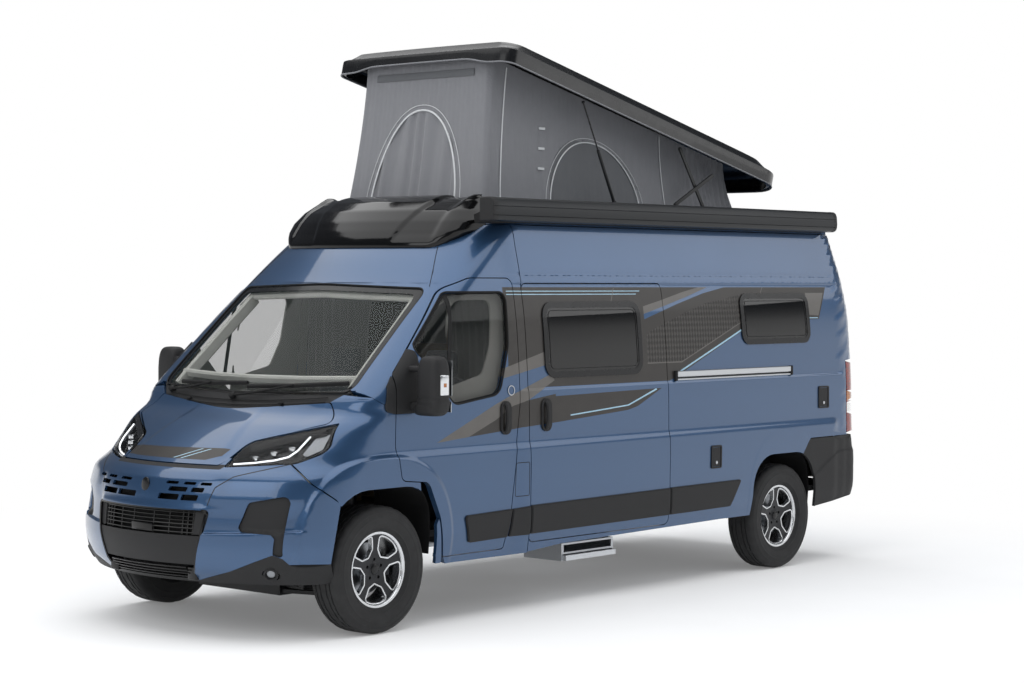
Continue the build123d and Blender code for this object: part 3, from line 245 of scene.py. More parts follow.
def relief(point):
    """How far the pressed shapes stand out from the plain skin, in metres."""
    x, y, z = point[..., 0], np.abs(point[..., 1]), point[..., 2]
    out = LOWER_OUT * ease(z, 1.058, 0.990) * ease(x, 2.30, 1.95) * ease(x, -2.69, -2.60)
    inside = (ease(x, FIELD[0] - 0.02, FIELD[0]) * ease(x, FIELD[1] + 0.10, FIELD[1])
              * ease(z, FIELD[2], FIELD[2] + 0.024) * ease(z, FIELD[3], FIELD[3] - 0.012))
    out = out + FIELD_IN * (ease(x, 0.95, 0.79) * ease(x, -2.80, -2.74) - inside)
    groove = ease(z, 2.064, 2.072) - ease(z, 2.080, 2.090)
    out = out - 0.004 * groove * ease(x, 0.95, 0.79) * ease(x, -2.72, -2.66)
    for cx, cz, rx, rz in FLARES:
        ring = (np.abs((x - cx) / rx) ** FLARE_POWER
                + np.abs((z - cz) / rz) ** FLARE_POWER) ** (1 / FLARE_POWER)
        flare = ease(ring, 1.0, 0.935) * ease(z, 0.30, 0.45)
        out = np.where(y > 0.60, np.maximum(out, out * (1 - flare) + (FLARE_OUT + 0.004) * flare), out)
    return np.where(y > 0.60, out, 0.0)


STEP = 0.0012


def skin_point(s, z, out=0.0):
    """Skin point with its pressed shapes, moved out by a distance."""
    base = bare_point(s, z)
    along = bare_point(s + STEP, z) - bare_point(s - STEP, z)
    up = bare_point(s, z + STEP) - bare_point(s, z - STEP)
    normal = np.cross(along, up)
    normal /= np.linalg.norm(normal, axis=-1, keepdims=True)
    return base + normal * (relief(base) + out)[..., None]


def skin_normal(s, z):
    along = skin_point(s + STEP, z) - skin_point(s - STEP, z)
    up = skin_point(s, z + STEP) - skin_point(s, z - STEP)
    normal = np.cross(along, up)
    return normal / np.linalg.norm(normal, axis=-1, keepdims=True)


def side_spot(x, z, side, out=0.0):
    """One point of the skin, by its place in the side view."""
    z = np.array([z])
    return skin_point(s_from_x(np.array([x]), z, side), z, np.array([out]))[0]


# ---------------------------------------------------------------- outlines
ARC_STEPS = 8        # straight pieces in a rounded corner


def rounded(points, step=0.02, closed=True):
    """Polygon (u, v, corner radius) with its corners turned into arcs and its runs divided."""
    count = len(points)
    path = []
    for i, (u, v, r) in enumerate(points):
        corner = np.array([u, v])
        if r == 0 or (not closed and i in (0, count - 1)):
            path.append(corner)
            continue
        a = np.array(points[i - 1][:2]) - corner
        b = np.array(points[(i + 1) % count][:2]) - corner
        a /= np.linalg.norm(a)
        b /= np.linalg.norm(b)
        half = math.acos(np.clip(a @ b, -1, 1)) / 2
        middle = corner + (a + b) / np.linalg.norm(a + b) * r / math.sin(half)
        start, end = corner + a * r / math.tan(half), corner + b * r / math.tan(half)
        first = math.atan2(*(start - middle)[::-1])
        sweep = (math.atan2(*(end - middle)[::-1]) - first + math.pi) % (2 * math.pi) - math.pi
        for k in range(ARC_STEPS + 1):
            angle = first + sweep * k / ARC_STEPS
            path.append(middle + r * np.array([math.cos(angle), math.sin(angle)]))
    dense = []
    for i, start in enumerate(path):
        if i == len(path) - 1 and not closed:
            dense.append(start)
            break
        end = path[(i + 1) % len(path)]
        parts = max(1, math.ceil(np.linalg.norm(end - start) / step))
        dense += [start + (end - start) * k / parts for k in range(parts)]
    return np.array(dense)


def grown(points, by):
    """The outline moved outwards by a distance (inwards where it is negative)."""
    count = len(points)
    area = sum(points[i][0] * points[(i + 1) % count][1] - points[(i + 1) % count][0] * points[i][1]
               for i in range(count))
    turn = 1 if area > 0 else -1
    result = []
    for i, (u, v, r) in enumerate(points):
        before, after = points[i - 1], points[(i + 1) % count]
        a = (u - before[0], v - before[1])
        b = (after[0] - u, after[1] - v)
        na = (turn * a[1] / math.hypot(*a), -turn * a[0] / math.hypot(*a))
        nb = (turn * b[1] / math.hypot(*b), -turn * b[0] / math.hypot(*b))
        scale = by / (1 + na[0] * nb[0] + na[1] * nb[1])
        bend = turn * (a[0] * b[1] - a[1] * b[0])
        wider = r + by if bend > 0 else r - by
        result.append((u + (na[0] + nb[0]) * scale, v + (na[1] + nb[1]) * scale,
                       max(wider, 0.001) if r else 0))
    return result


def on_side(points, side=1, closed=True, step=0.02):
    """An outline drawn in the side view, as a line on the skin."""
    flat = rounded(points, step, closed)
    return np.stack([s_from_x(flat[:, 0], flat[:, 1], side), flat[:, 1]], axis=1)


def on_front(points, closed=True, step=0.02):
    """An outline drawn in the front view, as a line on the skin."""
    flat = rounded(points, step, closed)
    return np.stack([s_from_y(flat[:, 0], flat[:, 1]), flat[:, 1]], axis=1)


def on_tail(points, side):
    """An outline drawn on the left rear door, as a line on the skin of either one."""
    flat = rounded([(side * y, z, r) for y, z, r in points])
    return np.stack([s_from_tail_y(flat[:, 0], flat[:, 1]), flat[:, 1]], axis=1)


def flipped(outline):
    """The same outline on the other side of the van."""
    return [(-u, v, r) for u, v, r in outline]


def facing(outline, side):
    """An outline drawn for the left half of the front, on either half."""
    return outline if side > 0 else flipped(outline)


# ---------------------------------------------------------------- finishes
def coat_paint():
    """Metallic lacquer: sprayed aluminium flake under clear coat; it brightens where it faces the light."""
    material, tree, shader = surface_of("metallic_lacquer", "#2f4c70", 0.34, Metallic=0.60, Coat_Weight=0.9,
                                        Coat_Roughness=0.05)
    # flakes are 0.03 mm; drawn at 1.2 mm so that a trace of them shows
    flake = add(tree, "TexVoronoi", Vector=place(tree), Scale=820.0)
    tree.links.new(mix_colours(tree, flake.outputs["Distance"], "#2c496c", "#35577e"),
                   shader.inputs["Base Color"])
    cloud = add(tree, "TexNoise", Vector=place(tree), Scale=2.2, Detail=2.0)
    rough = add(tree, "MapRange", Value=cloud.outputs["Fac"], To_Min=0.30, To_Max=0.37)
    tree.links.new(rough.outputs[0], shader.inputs["Roughness"])
    return material


def cast_vinyl(name, colour, light, roughness):
    """Cast vinyl film: cut and laid on the lacquer, a soft satin with a faint orange peel."""
    material, tree, shader = surface_of(name, colour, roughness, Specular_IOR_Level=0.35,
                                        Coat_Weight=0.15, Coat_Roughness=0.10)
    film = add(tree, "TexNoise", Vector=place(tree), Scale=9.0, Detail=3.0)
    tree.links.new(mix_colours(tree, film.outputs["Fac"], colour, light), shader.inputs["Base Color"])
    peel = add(tree, "TexNoise", Vector=place(tree), Scale=420.0, Detail=1.0)
    bump_on(tree, shader, peel.outputs["Fac"], 0.0004, 0.25)
    return material


def embossed_vinyl():
    """Embossed vinyl: rows of raised diamonds 30 mm apart, pressed into the film."""
    material, tree, shader = surface_of("embossed_vinyl", "#393633", 0.40, Specular_IOR_Level=0.35,
                                        Coat_Weight=0.12, Coat_Roughness=0.15)
    split = add(tree, "SeparateXYZ", Vector=place(tree))
    waves = []
    for sign in (1.0, -1.0):
        lean = add(tree, "Math", {"operation": "MULTIPLY_ADD"}, _0=split.outputs["Z"], _1=sign * 0.8,
                   _2=split.outputs["X"])
        turns = add(tree, "Math", {"operation": "MULTIPLY"}, _0=lean.outputs[0], _1=math.pi / 0.030)
        waves.append(add(tree, "Math", {"operation": "SINE"}, _0=turns.outputs[0]).outputs[0])
    grid = add(tree, "Math", {"operation": "MULTIPLY"}, _0=waves[0], _1=waves[1])
    raised = add(tree, "MapRange", Value=grid.outputs[0], From_Min=-0.5, From_Max=0.7)
    # the hollows between the diamonds are painted darker and the raised diamonds lighter: painted shade that
    # follows the relief, laid over the real bump
    tree.links.new(mix_colours(tree, raised.outputs[0], "#211f1d", "#423f3c"), shader.inputs["Base Color"])
    bump_on(tree, shader, raised.outputs[0], 0.004, 0.9)
    return material


def grained_plastic(name, colour, light, roughness, grain=650.0):
    """Moulded polypropylene, grained by the mould's etched face: dull, with a fine leather-like pebble."""
    material, tree, shader = surface_of(name, colour, roughness, Specular_IOR_Level=0.25)
    pebble = add(tree, "TexVoronoi", Vector=place(tree), Scale=grain)
    fade = add(tree, "TexNoise", Vector=place(tree), Scale=4.0, Detail=3.0)
    tree.links.new(mix_colours(tree, fade.outputs["Fac"], colour, light), shader.inputs["Base Color"])
    bump_on(tree, shader, pebble.outputs["Distance"], 0.0006, 0.5)
    rough = add(tree, "MapRange", Value=fade.outputs["Fac"], To_Min=roughness - 0.05, To_Max=roughness + 0.06)
    tree.links.new(rough.outputs[0], shader.inputs["Roughness"])
    return material


def polished_plastic(name, colour, roughness=0.10):
    """Polished ABS, moulded in a mirror-finished tool: deep gloss with a very slight ripple."""
    material, tree, shader = surface_of(name, colour, roughness, Specular_IOR_Level=0.3,
                                        Coat_Weight=0.1, Coat_Roughness=0.03)
    ripple = add(tree, "TexNoise", Vector=place(tree), Scale=14.0, Detail=1.0)
    bump_on(tree, shader, ripple.outputs["Fac"], 0.0005, 0.10)
    dust = add(tree, "MapRange", Value=ripple.outputs["Fac"], To_Min=roughness * 0.8, To_Max=roughness * 1.5)
    tree.links.new(dust.outputs[0], shader.inputs["Roughness"])
    return material


def tyre_compound():
    """Carbon-black rubber, moulded and cured: matt, with grey bloom and fine mould lines."""
    material, tree, shader = surface_of("cured_rubber", "#1b1b1c", 0.72)
    bloom = add(tree, "TexNoise", Vector=place(tree), Scale=18.0, Detail=5.0)
    tree.links.new(mix_colours(tree, bloom.outputs["Fac"], "#151516", "#2b2b2c"), shader.inputs["Base Color"])
    skin = add(tree, "TexNoise", Vector=place(tree), Scale=900.0, Detail=2.0)
    bump_on(tree, shader, skin.outputs["Fac"], 0.0005, 0.35)
    return material


def metal(name, colour, light, roughness, grain=(1.0, 1.0, 1.0), scale=260.0, metallic=1.0, depth=0.0002):
    """Metal with a directional grain: brushed, rolled, turned or cast by the scale of its noise."""
    material, tree, shader = surface_of(name, colour, roughness, Metallic=metallic)
    stretched = add(tree, "Mapping", Vector=place(tree), Scale=grain)
    lines = add(tree, "TexNoise", Vector=stretched.outputs[0], Scale=scale, Detail=4.0)
    tree.links.new(mix_colours(tree, lines.outputs["Fac"], colour, light), shader.inputs["Base Color"])
    rough = add(tree, "MapRange", Value=lines.outputs["Fac"], To_Min=roughness - 0.06,
                To_Max=roughness + 0.08)
    tree.links.new(rough.outputs[0], shader.inputs["Roughness"])
    bump_on(tree, shader, lines.outputs["Fac"], depth, 0.5)
    return material


def clear_glass(name, tint_and_painted_reflection, alpha):
    """Float glass, rolled flat and toughened: clear with a faint tint, mirror smooth; its colour also lays a
    flat grey haze over the pane, a painted reflection.
    """
    roughness = 0.01
    material, tree, shader = surface_of(name, tint_and_painted_reflection, roughness, Alpha=alpha, IOR=1.52)
    wave = add(tree, "TexNoise", Vector=place(tree), Scale=1.6, Detail=1.0)
    bump_on(tree, shader, wave.outputs["Fac"], 0.003, 0.06)
    haze = add(tree, "MapRange", Value=wave.outputs["Fac"], To_Min=roughness, To_Max=roughness + 0.02)
    tree.links.new(haze.outputs[0], shader.inputs["Roughness"])
    return material


def woven(name, dark, light, thread, roughness):
    """Plain-woven cloth: crossing threads, slightly uneven, with a soft sheen along the surface."""
    material, tree, shader = surface_of(name, dark, roughness, Sheen_Weight=0.25, Sheen_Roughness=0.5)
    split = add(tree, "SeparateXYZ", Vector=place(tree))
    across = add(tree, "Math", {"operation": "ADD"}, _0=split.outputs["X"], _1=split.outputs["Y"])
    waves = []
    for axis in (across.outputs[0], split.outputs["Z"]):
        turns = add(tree, "Math", {"operation": "MULTIPLY"}, _0=axis, _1=math.pi / thread)
        waves.append(add(tree, "Math", {"operation": "SINE"}, _0=turns.outputs[0]).outputs[0])
    cross = add(tree, "Math", {"operation": "MULTIPLY"}, _0=waves[0], _1=waves[1])
    uneven = add(tree, "TexNoise", Vector=place(tree), Scale=26.0, Detail=5.0)
    worn = add(tree, "Mix", {"data_type": "FLOAT"}, _0=0.35, _2=cross.outputs[0], _3=uneven.outputs["Fac"])
    tree.links.new(mix_colours(tree, worn.outputs[0], dark, light), shader.inputs["Base Color"])
    bump_on(tree, shader, cross.outputs[0], thread * 0.25, 0.4)
    return material


def laminate():
    """Melamine laminate printed with a fine straight oak grain, pressed on board: dull and even."""
    material, tree, shader = surface_of("oak_laminate", "#b49a78", 0.42)
    along = add(tree, "Mapping", Vector=place(tree), Scale=(2.0, 30.0, 30.0))
    figure = add(tree, "TexNoise", Vector=along.outputs[0], Scale=3.0, Detail=6.0)
    tree.links.new(mix_colours(tree, figure.outputs["Fac"], "#8f7552", "#cdb591"),
                   shader.inputs["Base Color"])
    bump_on(tree, shader, figure.outputs["Fac"], 0.0004, 0.3)
    return material


def lit_lens(name, colour, strength):
    """Polycarbonate light guide: moulded clear rod with fine facets that glow evenly."""
    material, tree, shader = surface_of(name, colour, 0.15, Emission_Color=rgb(colour),
                                        Emission_Strength=strength)
    facet = add(tree, "TexVoronoi", Vector=place(tree), Scale=300.0)
    bump_on(tree, shader, facet.outputs["Distance"], 0.0008, 0.4)
    return material


def lens(name, colour, deeper, alpha, ripple=0.35):
    """Coloured acrylic lens with pillow optics moulded on its inner face."""
    material, tree, shader = surface_of(name, colour, 0.06, Alpha=alpha, Coat_Weight=1.0, Coat_Roughness=0.02)
    pillow = add(tree, "TexVoronoi", Vector=place(tree), Scale=110.0)
    tree.links.new(mix_colours(tree, pillow.outputs["Distance"], colour, deeper), shader.inputs["Base Color"])
    bump_on(tree, shader, pillow.outputs["Distance"], 0.002, ripple)
    return material


LACQUER = coat_paint()
DARK_VINYL = cast_vinyl("dark_vinyl", "#2b2826", "#35322f", 0.40)
GREY_VINYL = cast_vinyl("grey_vinyl", "#5b5855", "#66635f", 0.34)
PALE_VINYL = cast_vinyl("pale_vinyl", "#93bbd1", "#a9cbdc", 0.30)
DIAMOND_VINYL = embossed_vinyl()
TRIM_PLASTIC = grained_plastic("grained_trim", "#252526", "#2c2c2d", 0.55)
LINING = grained_plastic("moulded_lining", "#95948e", "#a5a49d", 0.62, 420.0)
BLIND_FRAME = grained_plastic("blind_frame", "#c6c6bf", "#d4d4cd", 0.60, 420.0)
DARK_LINING = grained_plastic("dark_lining", "#2a2a2b", "#343435", 0.60, 420.0)
SEAL = grained_plastic("sealing_rubber", "#141415", "#1c1c1d", 0.62, 900.0)
GLOSS_BLACK = polished_plastic("polished_black", "#0b0b0c", 0.09)
SHELL_BLACK = polished_plastic("satin_shell", "#131416", 0.22)
RUBBER = tyre_compound()
WHEEL_PAINT = metal("painted_alloy", "#262729", "#303134", 0.36, scale=700.0, metallic=0.55)
TURNED = metal("machined_alloy", "#c9cbce", "#dfe1e3", 0.24, scale=500.0)
ANODISED = metal("anodised_aluminium", "#b9bcc0", "#cfd2d5", 0.30, grain=(0.05, 1.0, 1.0))
BRUSHED = metal("brushed_aluminium", "#9fa2a6", "#c2c5c9", 0.34, grain=(0.04, 1.0, 1.0), scale=320.0)
POWDER_BLACK = metal("powder_coated_steel", "#151617", "#1e1f21", 0.46, scale=520.0, metallic=0.3,
                     depth=0.0006)
AWNING_COAT = metal("coated_extrusion", "#15171a", "#1f2225", 0.34, grain=(0.06, 1.0, 1.0), scale=300.0,
                    metallic=0.4)
CAST_IRON = metal("cast_iron", "#3c3d3f", "#55565a", 0.62, scale=160.0, metallic=0.7, depth=0.0015)
STEEL = metal("ground_steel", "#7d8084", "#a5a8ac", 0.34, scale=400.0)
CHROME = metal("plated_reflector", "#d5d8dc", "#e6e8ea", 0.12, scale=60.0)
# the grey of the windscreen and the cab glass is partly tint and partly a painted reflection, a flat haze in
# place of what the glass reflects
SCREEN_GLASS = clear_glass("laminated_glass", "#3c4341", 0.16)
CAB_GLASS = clear_glass("toughened_glass", "#1c2120", 0.24)
DARK_GLASS = clear_glass("privacy_glass", "#0c0d0e", 0.90)
MIRROR_GLASS = metal("silvered_glass", "#c8ccd0", "#d4d8db", 0.04, scale=3.0, depth=0.00005)
TENT_CLOTH = woven("tent_cotton", "#6d6e72", "#86878b", 0.0042, 0.82)
TENT_NET = woven("tent_curtain", "#505255", "#6a6c70", 0.0042, 0.85)
PIPING = woven("tape_piping", "#c0c2c4", "#dcdedf", 0.003, 0.7)
SEAT_CLOTH = woven("seat_cloth", "#3d3f43", "#54565b", 0.0035, 0.85)
CURTAIN = woven("curtain_cloth", "#6d6d6b", "#878784", 0.003, 0.88)
OAK = laminate()
LED_WHITE = lit_lens("light_guide", "#f4f7fb", 1.1)
AMBER_LENS = lens("amber_lens", "#c8792a", "#8f4d12", 0.9)
RED_LENS = lens("red_lens", "#9a171b", "#5d0c10", 0.92)
CLEAR_LENS = lens("clear_lens", "#2f3235", "#4a4e52", 0.07, 0.03)
PANEL_FINISHES = [LACQUER, DARK_VINYL, GREY_VINYL, PALE_VINYL, DIAMOND_VINYL, TRIM_PLASTIC, LINING]


# ---------------------------------------------------------------- meshes
def build(name, verts, faces, materials, slots=None, normals=None, sharp=35.0):
    mesh = bpy.data.meshes.new(name)
    mesh.from_pydata([tuple(map(float, v)) for v in verts], [], [tuple(map(int, f)) for f in faces])
    for material in materials if isinstance(materials, (list, tuple)) else [materials]:
        mesh.materials.append(material)
    if slots is not None:
        mesh.polygons.foreach_set("material_index", np.asarray(slots, np.int32))
    mesh.polygons.foreach_set("use_smooth", np.ones(len(faces), bool))
    mesh.update()
    if normals is None:
        outward = bmesh.new()
        outward.from_mesh(mesh)
        bmesh.ops.recalc_face_normals(outward, faces=outward.faces)
        outward.to_mesh(mesh)
        outward.free()
        mesh.set_sharp_from_angle(angle=math.radians(sharp))
    else:
        mesh.normals_split_custom_set([tuple(n) for n in normals])
    piece = bpy.data.objects.new(name, mesh)
    bpy.context.scene.collection.objects.link(piece)
    return piece


def settle(piece, body, slot, *nodes):
    """Which body the piece rides on, and the CAD nodes it stands for. The slot argument is not used."""
    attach(piece, body)
    if nodes:
        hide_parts(*nodes)
    return piece


def if_left(side, node):
    """The CAD node that both pieces of a pair stand for is named on the left one."""
    return [node] if side > 0 else []


def turned_left(outline):
    """The outline with its points running anticlockwise."""
    u, v = outline[:, 0], outline[:, 1]
    area = np.sum(u * np.roll(v, -1) - np.roll(u, -1) * v)
    return outline if area > 0 else outline[::-1]


def panel(name, where, keep, materials, cuts=(), areas=(), lines=(), step=(0.06, 0.04), thick=PANEL,
          lining=None):
    """A pressed sheet: the chart's region `keep` less `cuts`, with areas in other finishes, made `thick`."""
    points, edges, faces = [], [], []
    rings = [*keep, *cuts, *(outline for outline, _ in areas)]
    for ring in rings:
        start = len(points)
        points += [tuple(p) for p in turned_left(ring)]
        faces.append(list(range(start, len(points))))
    for line in lines:
        start = len(points)
        points += [tuple(p) for p in line]
        edges += [(k, k + 1) for k in range(start, len(points) - 1)]
    low = np.min([ring.min(axis=0) for ring in keep], axis=0)
    high = np.max([ring.max(axis=0) for ring in keep], axis=0)
    for row, v in enumerate(np.arange(low[1] + step[1] / 2, high[1], step[1])):
        for u in np.arange(low[0] + step[0] * (0.25 + 0.5 * (row % 2)), high[0], step[0]):
            points.append((u, v))
    found = delaunay_2d_cdt([Vector((float(u), float(v))) for u, v in points], edges, faces, 1, 1e-5, True)
    flat = np.array([(v.x, v.y) for v in found[0]])
    kept, slots = [], []
    for triangle, owners in zip(found[2], found[5]):
        if len(triangle) != 3 or not any(o < len(keep) for o in owners):
            continue
        if any(len(keep) <= o < len(keep) + len(cuts) for o in owners):
            continue
        over = [o - len(keep) - len(cuts) for o in owners if o >= len(keep) + len(cuts)]
        kept.append(triangle)
        slots.append(areas[max(over)][1] if over else 0)
    kept = np.array(kept)
    used, kept = np.unique(kept, return_inverse=True)
    kept = kept.reshape(-1, 3)
    flat = flat[used]
    count = len(flat)
    outer, inner = where(flat, 0.0), where(flat, -thick)
    d = STEP
    along = where(flat + (d, 0), 0.0) - where(flat - (d, 0), 0.0)
    up = where(flat + (0, d), 0.0) - where(flat - (0, d), 0.0)
    normal = np.cross(along, up)
    normal /= np.maximum(np.linalg.norm(normal, axis=1, keepdims=True), 1e-12)
    seen = {}
    for t, (a, b, c) in enumerate(kept):
        for edge in ((a, b), (b, c), (c, a)):
            seen[edge] = t
    rim = [(edge, t) for edge, t in seen.items() if edge[::-1] not in seen]
    verts = np.concatenate([outer, inner])
    all_faces = [tuple(f) for f in kept] + [tuple(f[::-1] + count) for f in kept]
    back = len(materials) - 1 if lining is None else lining
    all_slots = list(slots) + (list(slots) if lining == "same" else [back] * len(kept))
    loops = [normal[kept].reshape(-1, 3), -normal[kept[:, ::-1]].reshape(-1, 3)]
    for (a, b), t in rim:
        all_faces.append((a, a + count, b + count, b))
        all_slots.append(slots[t])
        side = np.cross(inner[a] - outer[a], outer[b] - outer[a])
        side /= max(np.linalg.norm(side), 1e-12)
        loops.append(np.repeat(side[None], 4, axis=0))
    return build(name, verts, all_faces, materials, all_slots, np.concatenate(loops))


def body_chart(uv, depth):
    """The chart of the plain body: distance along the outline and height."""
    return skin_point(uv[:, 0], uv[:, 1], depth)


def ring_faces(rings, count, looped=False, closed=True):
    """Quads over rings of count points; looped joins the last ring to the first, closed each ring's ends."""
    faces = []
    for i in range(rings if looped else rings - 1):
        j = (i + 1) % rings
        for k in range(count if closed else count - 1):
            m = (k + 1) % count
            faces.append((i * count + k, i * count + m, j * count + m, j * count + k))
    return faces


def end_caps(rings, count):
    """The faces that close the first and the last ring."""
    return [tuple(range(count - 1, -1, -1)), tuple(range((rings - 1) * count, rings * count))]


def sweep(path, section, up=(0, 0, 1), closed=False):
    """(verts, faces) of a flat section (side, up) carried along a path."""
    path = np.asarray(path, float)
    if closed:
        ahead, behind = np.roll(path, -1, axis=0), np.roll(path, 1, axis=0)
    else:
        ahead = np.concatenate([path[1:], path[-1:]])
        behind = np.concatenate([path[:1], path[:-1]])
    tangent = ahead - behind
    tangent /= np.linalg.norm(tangent, axis=1, keepdims=True)
    ups = np.broadcast_to(np.asarray(up, float), path.shape)
    side = np.cross(tangent, ups)
    side /= np.maximum(np.linalg.norm(side, axis=1, keepdims=True), 1e-9)
    lift = np.cross(side, tangent)
    section = np.asarray(section, float)
    n = len(section)
    verts = (path[:, None] + side[:, None] * section[None, :, :1] + lift[:, None] * section[None, :, 1:])
    verts = verts.reshape(-1, 3)
    faces = ring_faces(len(path), n, looped=closed)
    if not closed:
        faces += end_caps(len(path), n)
    return verts, faces


def joined(name, parts, material, sharp=35.0):
    """One object from several (verts, faces)."""
    verts, faces, start = [], [], 0
    for part_verts, part_faces in parts:
        verts.append(np.asarray(part_verts, float))
        faces += [tuple(i + start for i in face) for face in part_faces]
        start += len(part_verts)
    return build(name, np.concatenate(verts), faces, material, sharp=sharp)


def circle(radius, count):
    turns = [2 * math.pi * k / count for k in range(count)]
    return [(radius * math.cos(a), radius * math.sin(a)) for a in turns]


def bar(width, height, edge=0.25):
    """Rectangular section with its corners cut."""
    w, h, e = width / 2, height / 2, edge * min(width, height)
    return [(w - e, -h), (w, -h + e), (w, h - e), (w - e, h), (-w + e, h), (-w, h - e), (-w, -h + e),
            (-w + e, -h)]


def block(low, high, radius=0.01, segments=3):
    """(verts, faces) of a box with rounded edges."""
    made = bmesh.new()
    bmesh.ops.create_cube(made, size=1.0)
    low, high = Vector(low), Vector(high)
    for v in made.verts:
        v.co = Vector([(low[i] + high[i]) / 2 + v.co[i] * (high[i] - low[i]) for i in range(3)])
    bmesh.ops.bevel(made, geom=made.edges, offset=radius, segments=segments, profile=0.5, affect="EDGES",
                    clamp_overlap=True)
    verts = [tuple(v.co) for v in made.verts]
    faces = [tuple(v.index for v in f.verts) for f in made.faces]
    made.free()
    return verts, faces


def lathed(profile, centre, count=96, side=1, wave=None):
    """(verts, faces) of a closed profile (radius, y) turned about the Y axis through the centre."""
    verts = []
    for i in range(count):
        a = 2 * math.pi * i / count
        for r, y in profile:
            r = r - (wave(i, r, y) if wave else 0)
            verts.append((centre[0] + r * math.cos(a), centre[1] + side * y, centre[2] + r * math.sin(a)))
    faces = ring_faces(count, len(profile), looped=True)
    return verts, faces if side > 0 else [face[::-1] for face in faces]


def handed(parts, side):
    """Parts made for the left side, on either side."""
    if side > 0:
        return parts
    return [(np.array(verts, float) * (1, -1, 1), [face[::-1] for face in faces]) for verts, faces in parts]


TUBE_STEPS = 4       # points of a tube's line for each one given


def tube(points, radius, count):
    """(verts, faces) of a round bar along a smooth line through the points."""
    points = np.asarray(points, float)
    extended = np.concatenate([points[:1] * 2 - points[1:2], points, points[-1:] * 2 - points[-2:-1]])
    dense = []
    for i in range(1, len(extended) - 2):
        p0, p1, p2, p3 = extended[i - 1:i + 3]
        for k in range(TUBE_STEPS):
            t = k / TUBE_STEPS
            dense.append(0.5 * (2 * p1 + (p2 - p0) * t + (2 * p0 - 5 * p1 + 4 * p2 - p3) * t * t
                                + (3 * p1 - p0 - 3 * p2 + p3) * t**3))
    points = np.array(dense + [points[-1]])
    run = points[-1] - points[0]
    up = (0, 0, 1) if abs(run[2]) < 0.8 * np.linalg.norm(run) else (1, 0, 0)
    return sweep(points, circle(radius, count), up)


# ---------------------------------------------------------------- outlines of the panels
def drawn(*points):
    """Outline given in millimetres (u, v, corner radius)."""
    return [(u / 1000, v / 1000, r / 1000) for u, v, r in points]


def sharp_line(*points):
    return [(u, v, 0) for u, v in points]


CAB_DOOR = drawn((1545, 400, 25), (1590, 640, 150), (1690, 850, 60), (1915, 872, 45), (1950, 1080, 200),
                 (1936, 1490, 60), (1430, 1985, 260), (1230, 2054, 150), (853, 2054, 60), (853, 1300, 600),
                 (945, 640, 400), (1000, 400, 25))
CAB_WINDOW = drawn((1420, 1968, 70), (927, 1968, 60), (940, 1640, 200), (1035, 1345, 100), (1440, 1295, 80),
                   (1765, 1640, 50))
SLIDING_DOOR = drawn((-634, 425, 40), (776, 425, 40), (776, 2018, 40), (-634, 2018, 40))
DOOR_WINDOW = drawn((-360, 1440, 80), (600, 1440, 80), (600, 1893, 80), (-360, 1893, 80))
BED_WINDOW = drawn((-2330, 1607, 70), (-1510, 1607, 70), (-1510, 1942, 70), (-2330, 1942, 70))
FRONT_ARCH = drawn((1597, 250, 0), (1628, 842, 265), (2484, 842, 310), (2505, 250, 0))
REAR_ARCH = drawn((-1560, 250, 0), (-1610, 822, 240), (-2340, 822, 250), (-2396, 250, 0))
WINDSCREEN = drawn((-840, 1388, 60), (-804, 1990, 60), (0, 2015, 3000), (804, 1990, 60), (840, 1388, 60),
                   (0, 1366, 3000))
BONNET = drawn((-425, 978, 30), (-466, 1109, 60), (-850, 1216, 20), (-745, 1332, 40), (0, 1272, 2000),
               (745, 1332, 40), (850, 1216, 20), (466, 1109, 60), (425, 978, 30))
LAMP = drawn((458, 974, 15), (466, 1109, 60), (889, 1217, 6), (931, 1067, 60), (820, 1000, 60),
             (514, 978, 40))
MOUTH = drawn((-474, 737, 20), (-446, 570, 60), (-395, 410, 60), (-352, 330, 30), (352, 330, 30),
              (395, 410, 60), (446, 570, 60), (474, 737, 20))
INSERT = drawn((700, 790, 25), (880, 830, 30), (895, 790, 30), (872, 480, 15), (832, 500, 5), (842, 590, 15),
               (825, 614, 15), (672, 625, 15), (655, 650, 15))
GLASS_BACK = drawn((110, 1480, 70), (660, 1480, 70), (640, 2010, 70), (110, 2010, 70))
CAB_STRIP = drawn((1330, 470, 20), (1370, 632, 20), (945, 642, 6), (985, 476, 6))
SILL = [(0.773, 0.366), (0.450, 0.390), (-1.240, 0.412), (-2.330, 0.412), (-2.880, 0.458)]
DARK, GREY, PALE, DIAMOND, PLASTIC = 1, 2, 3, 4, 5

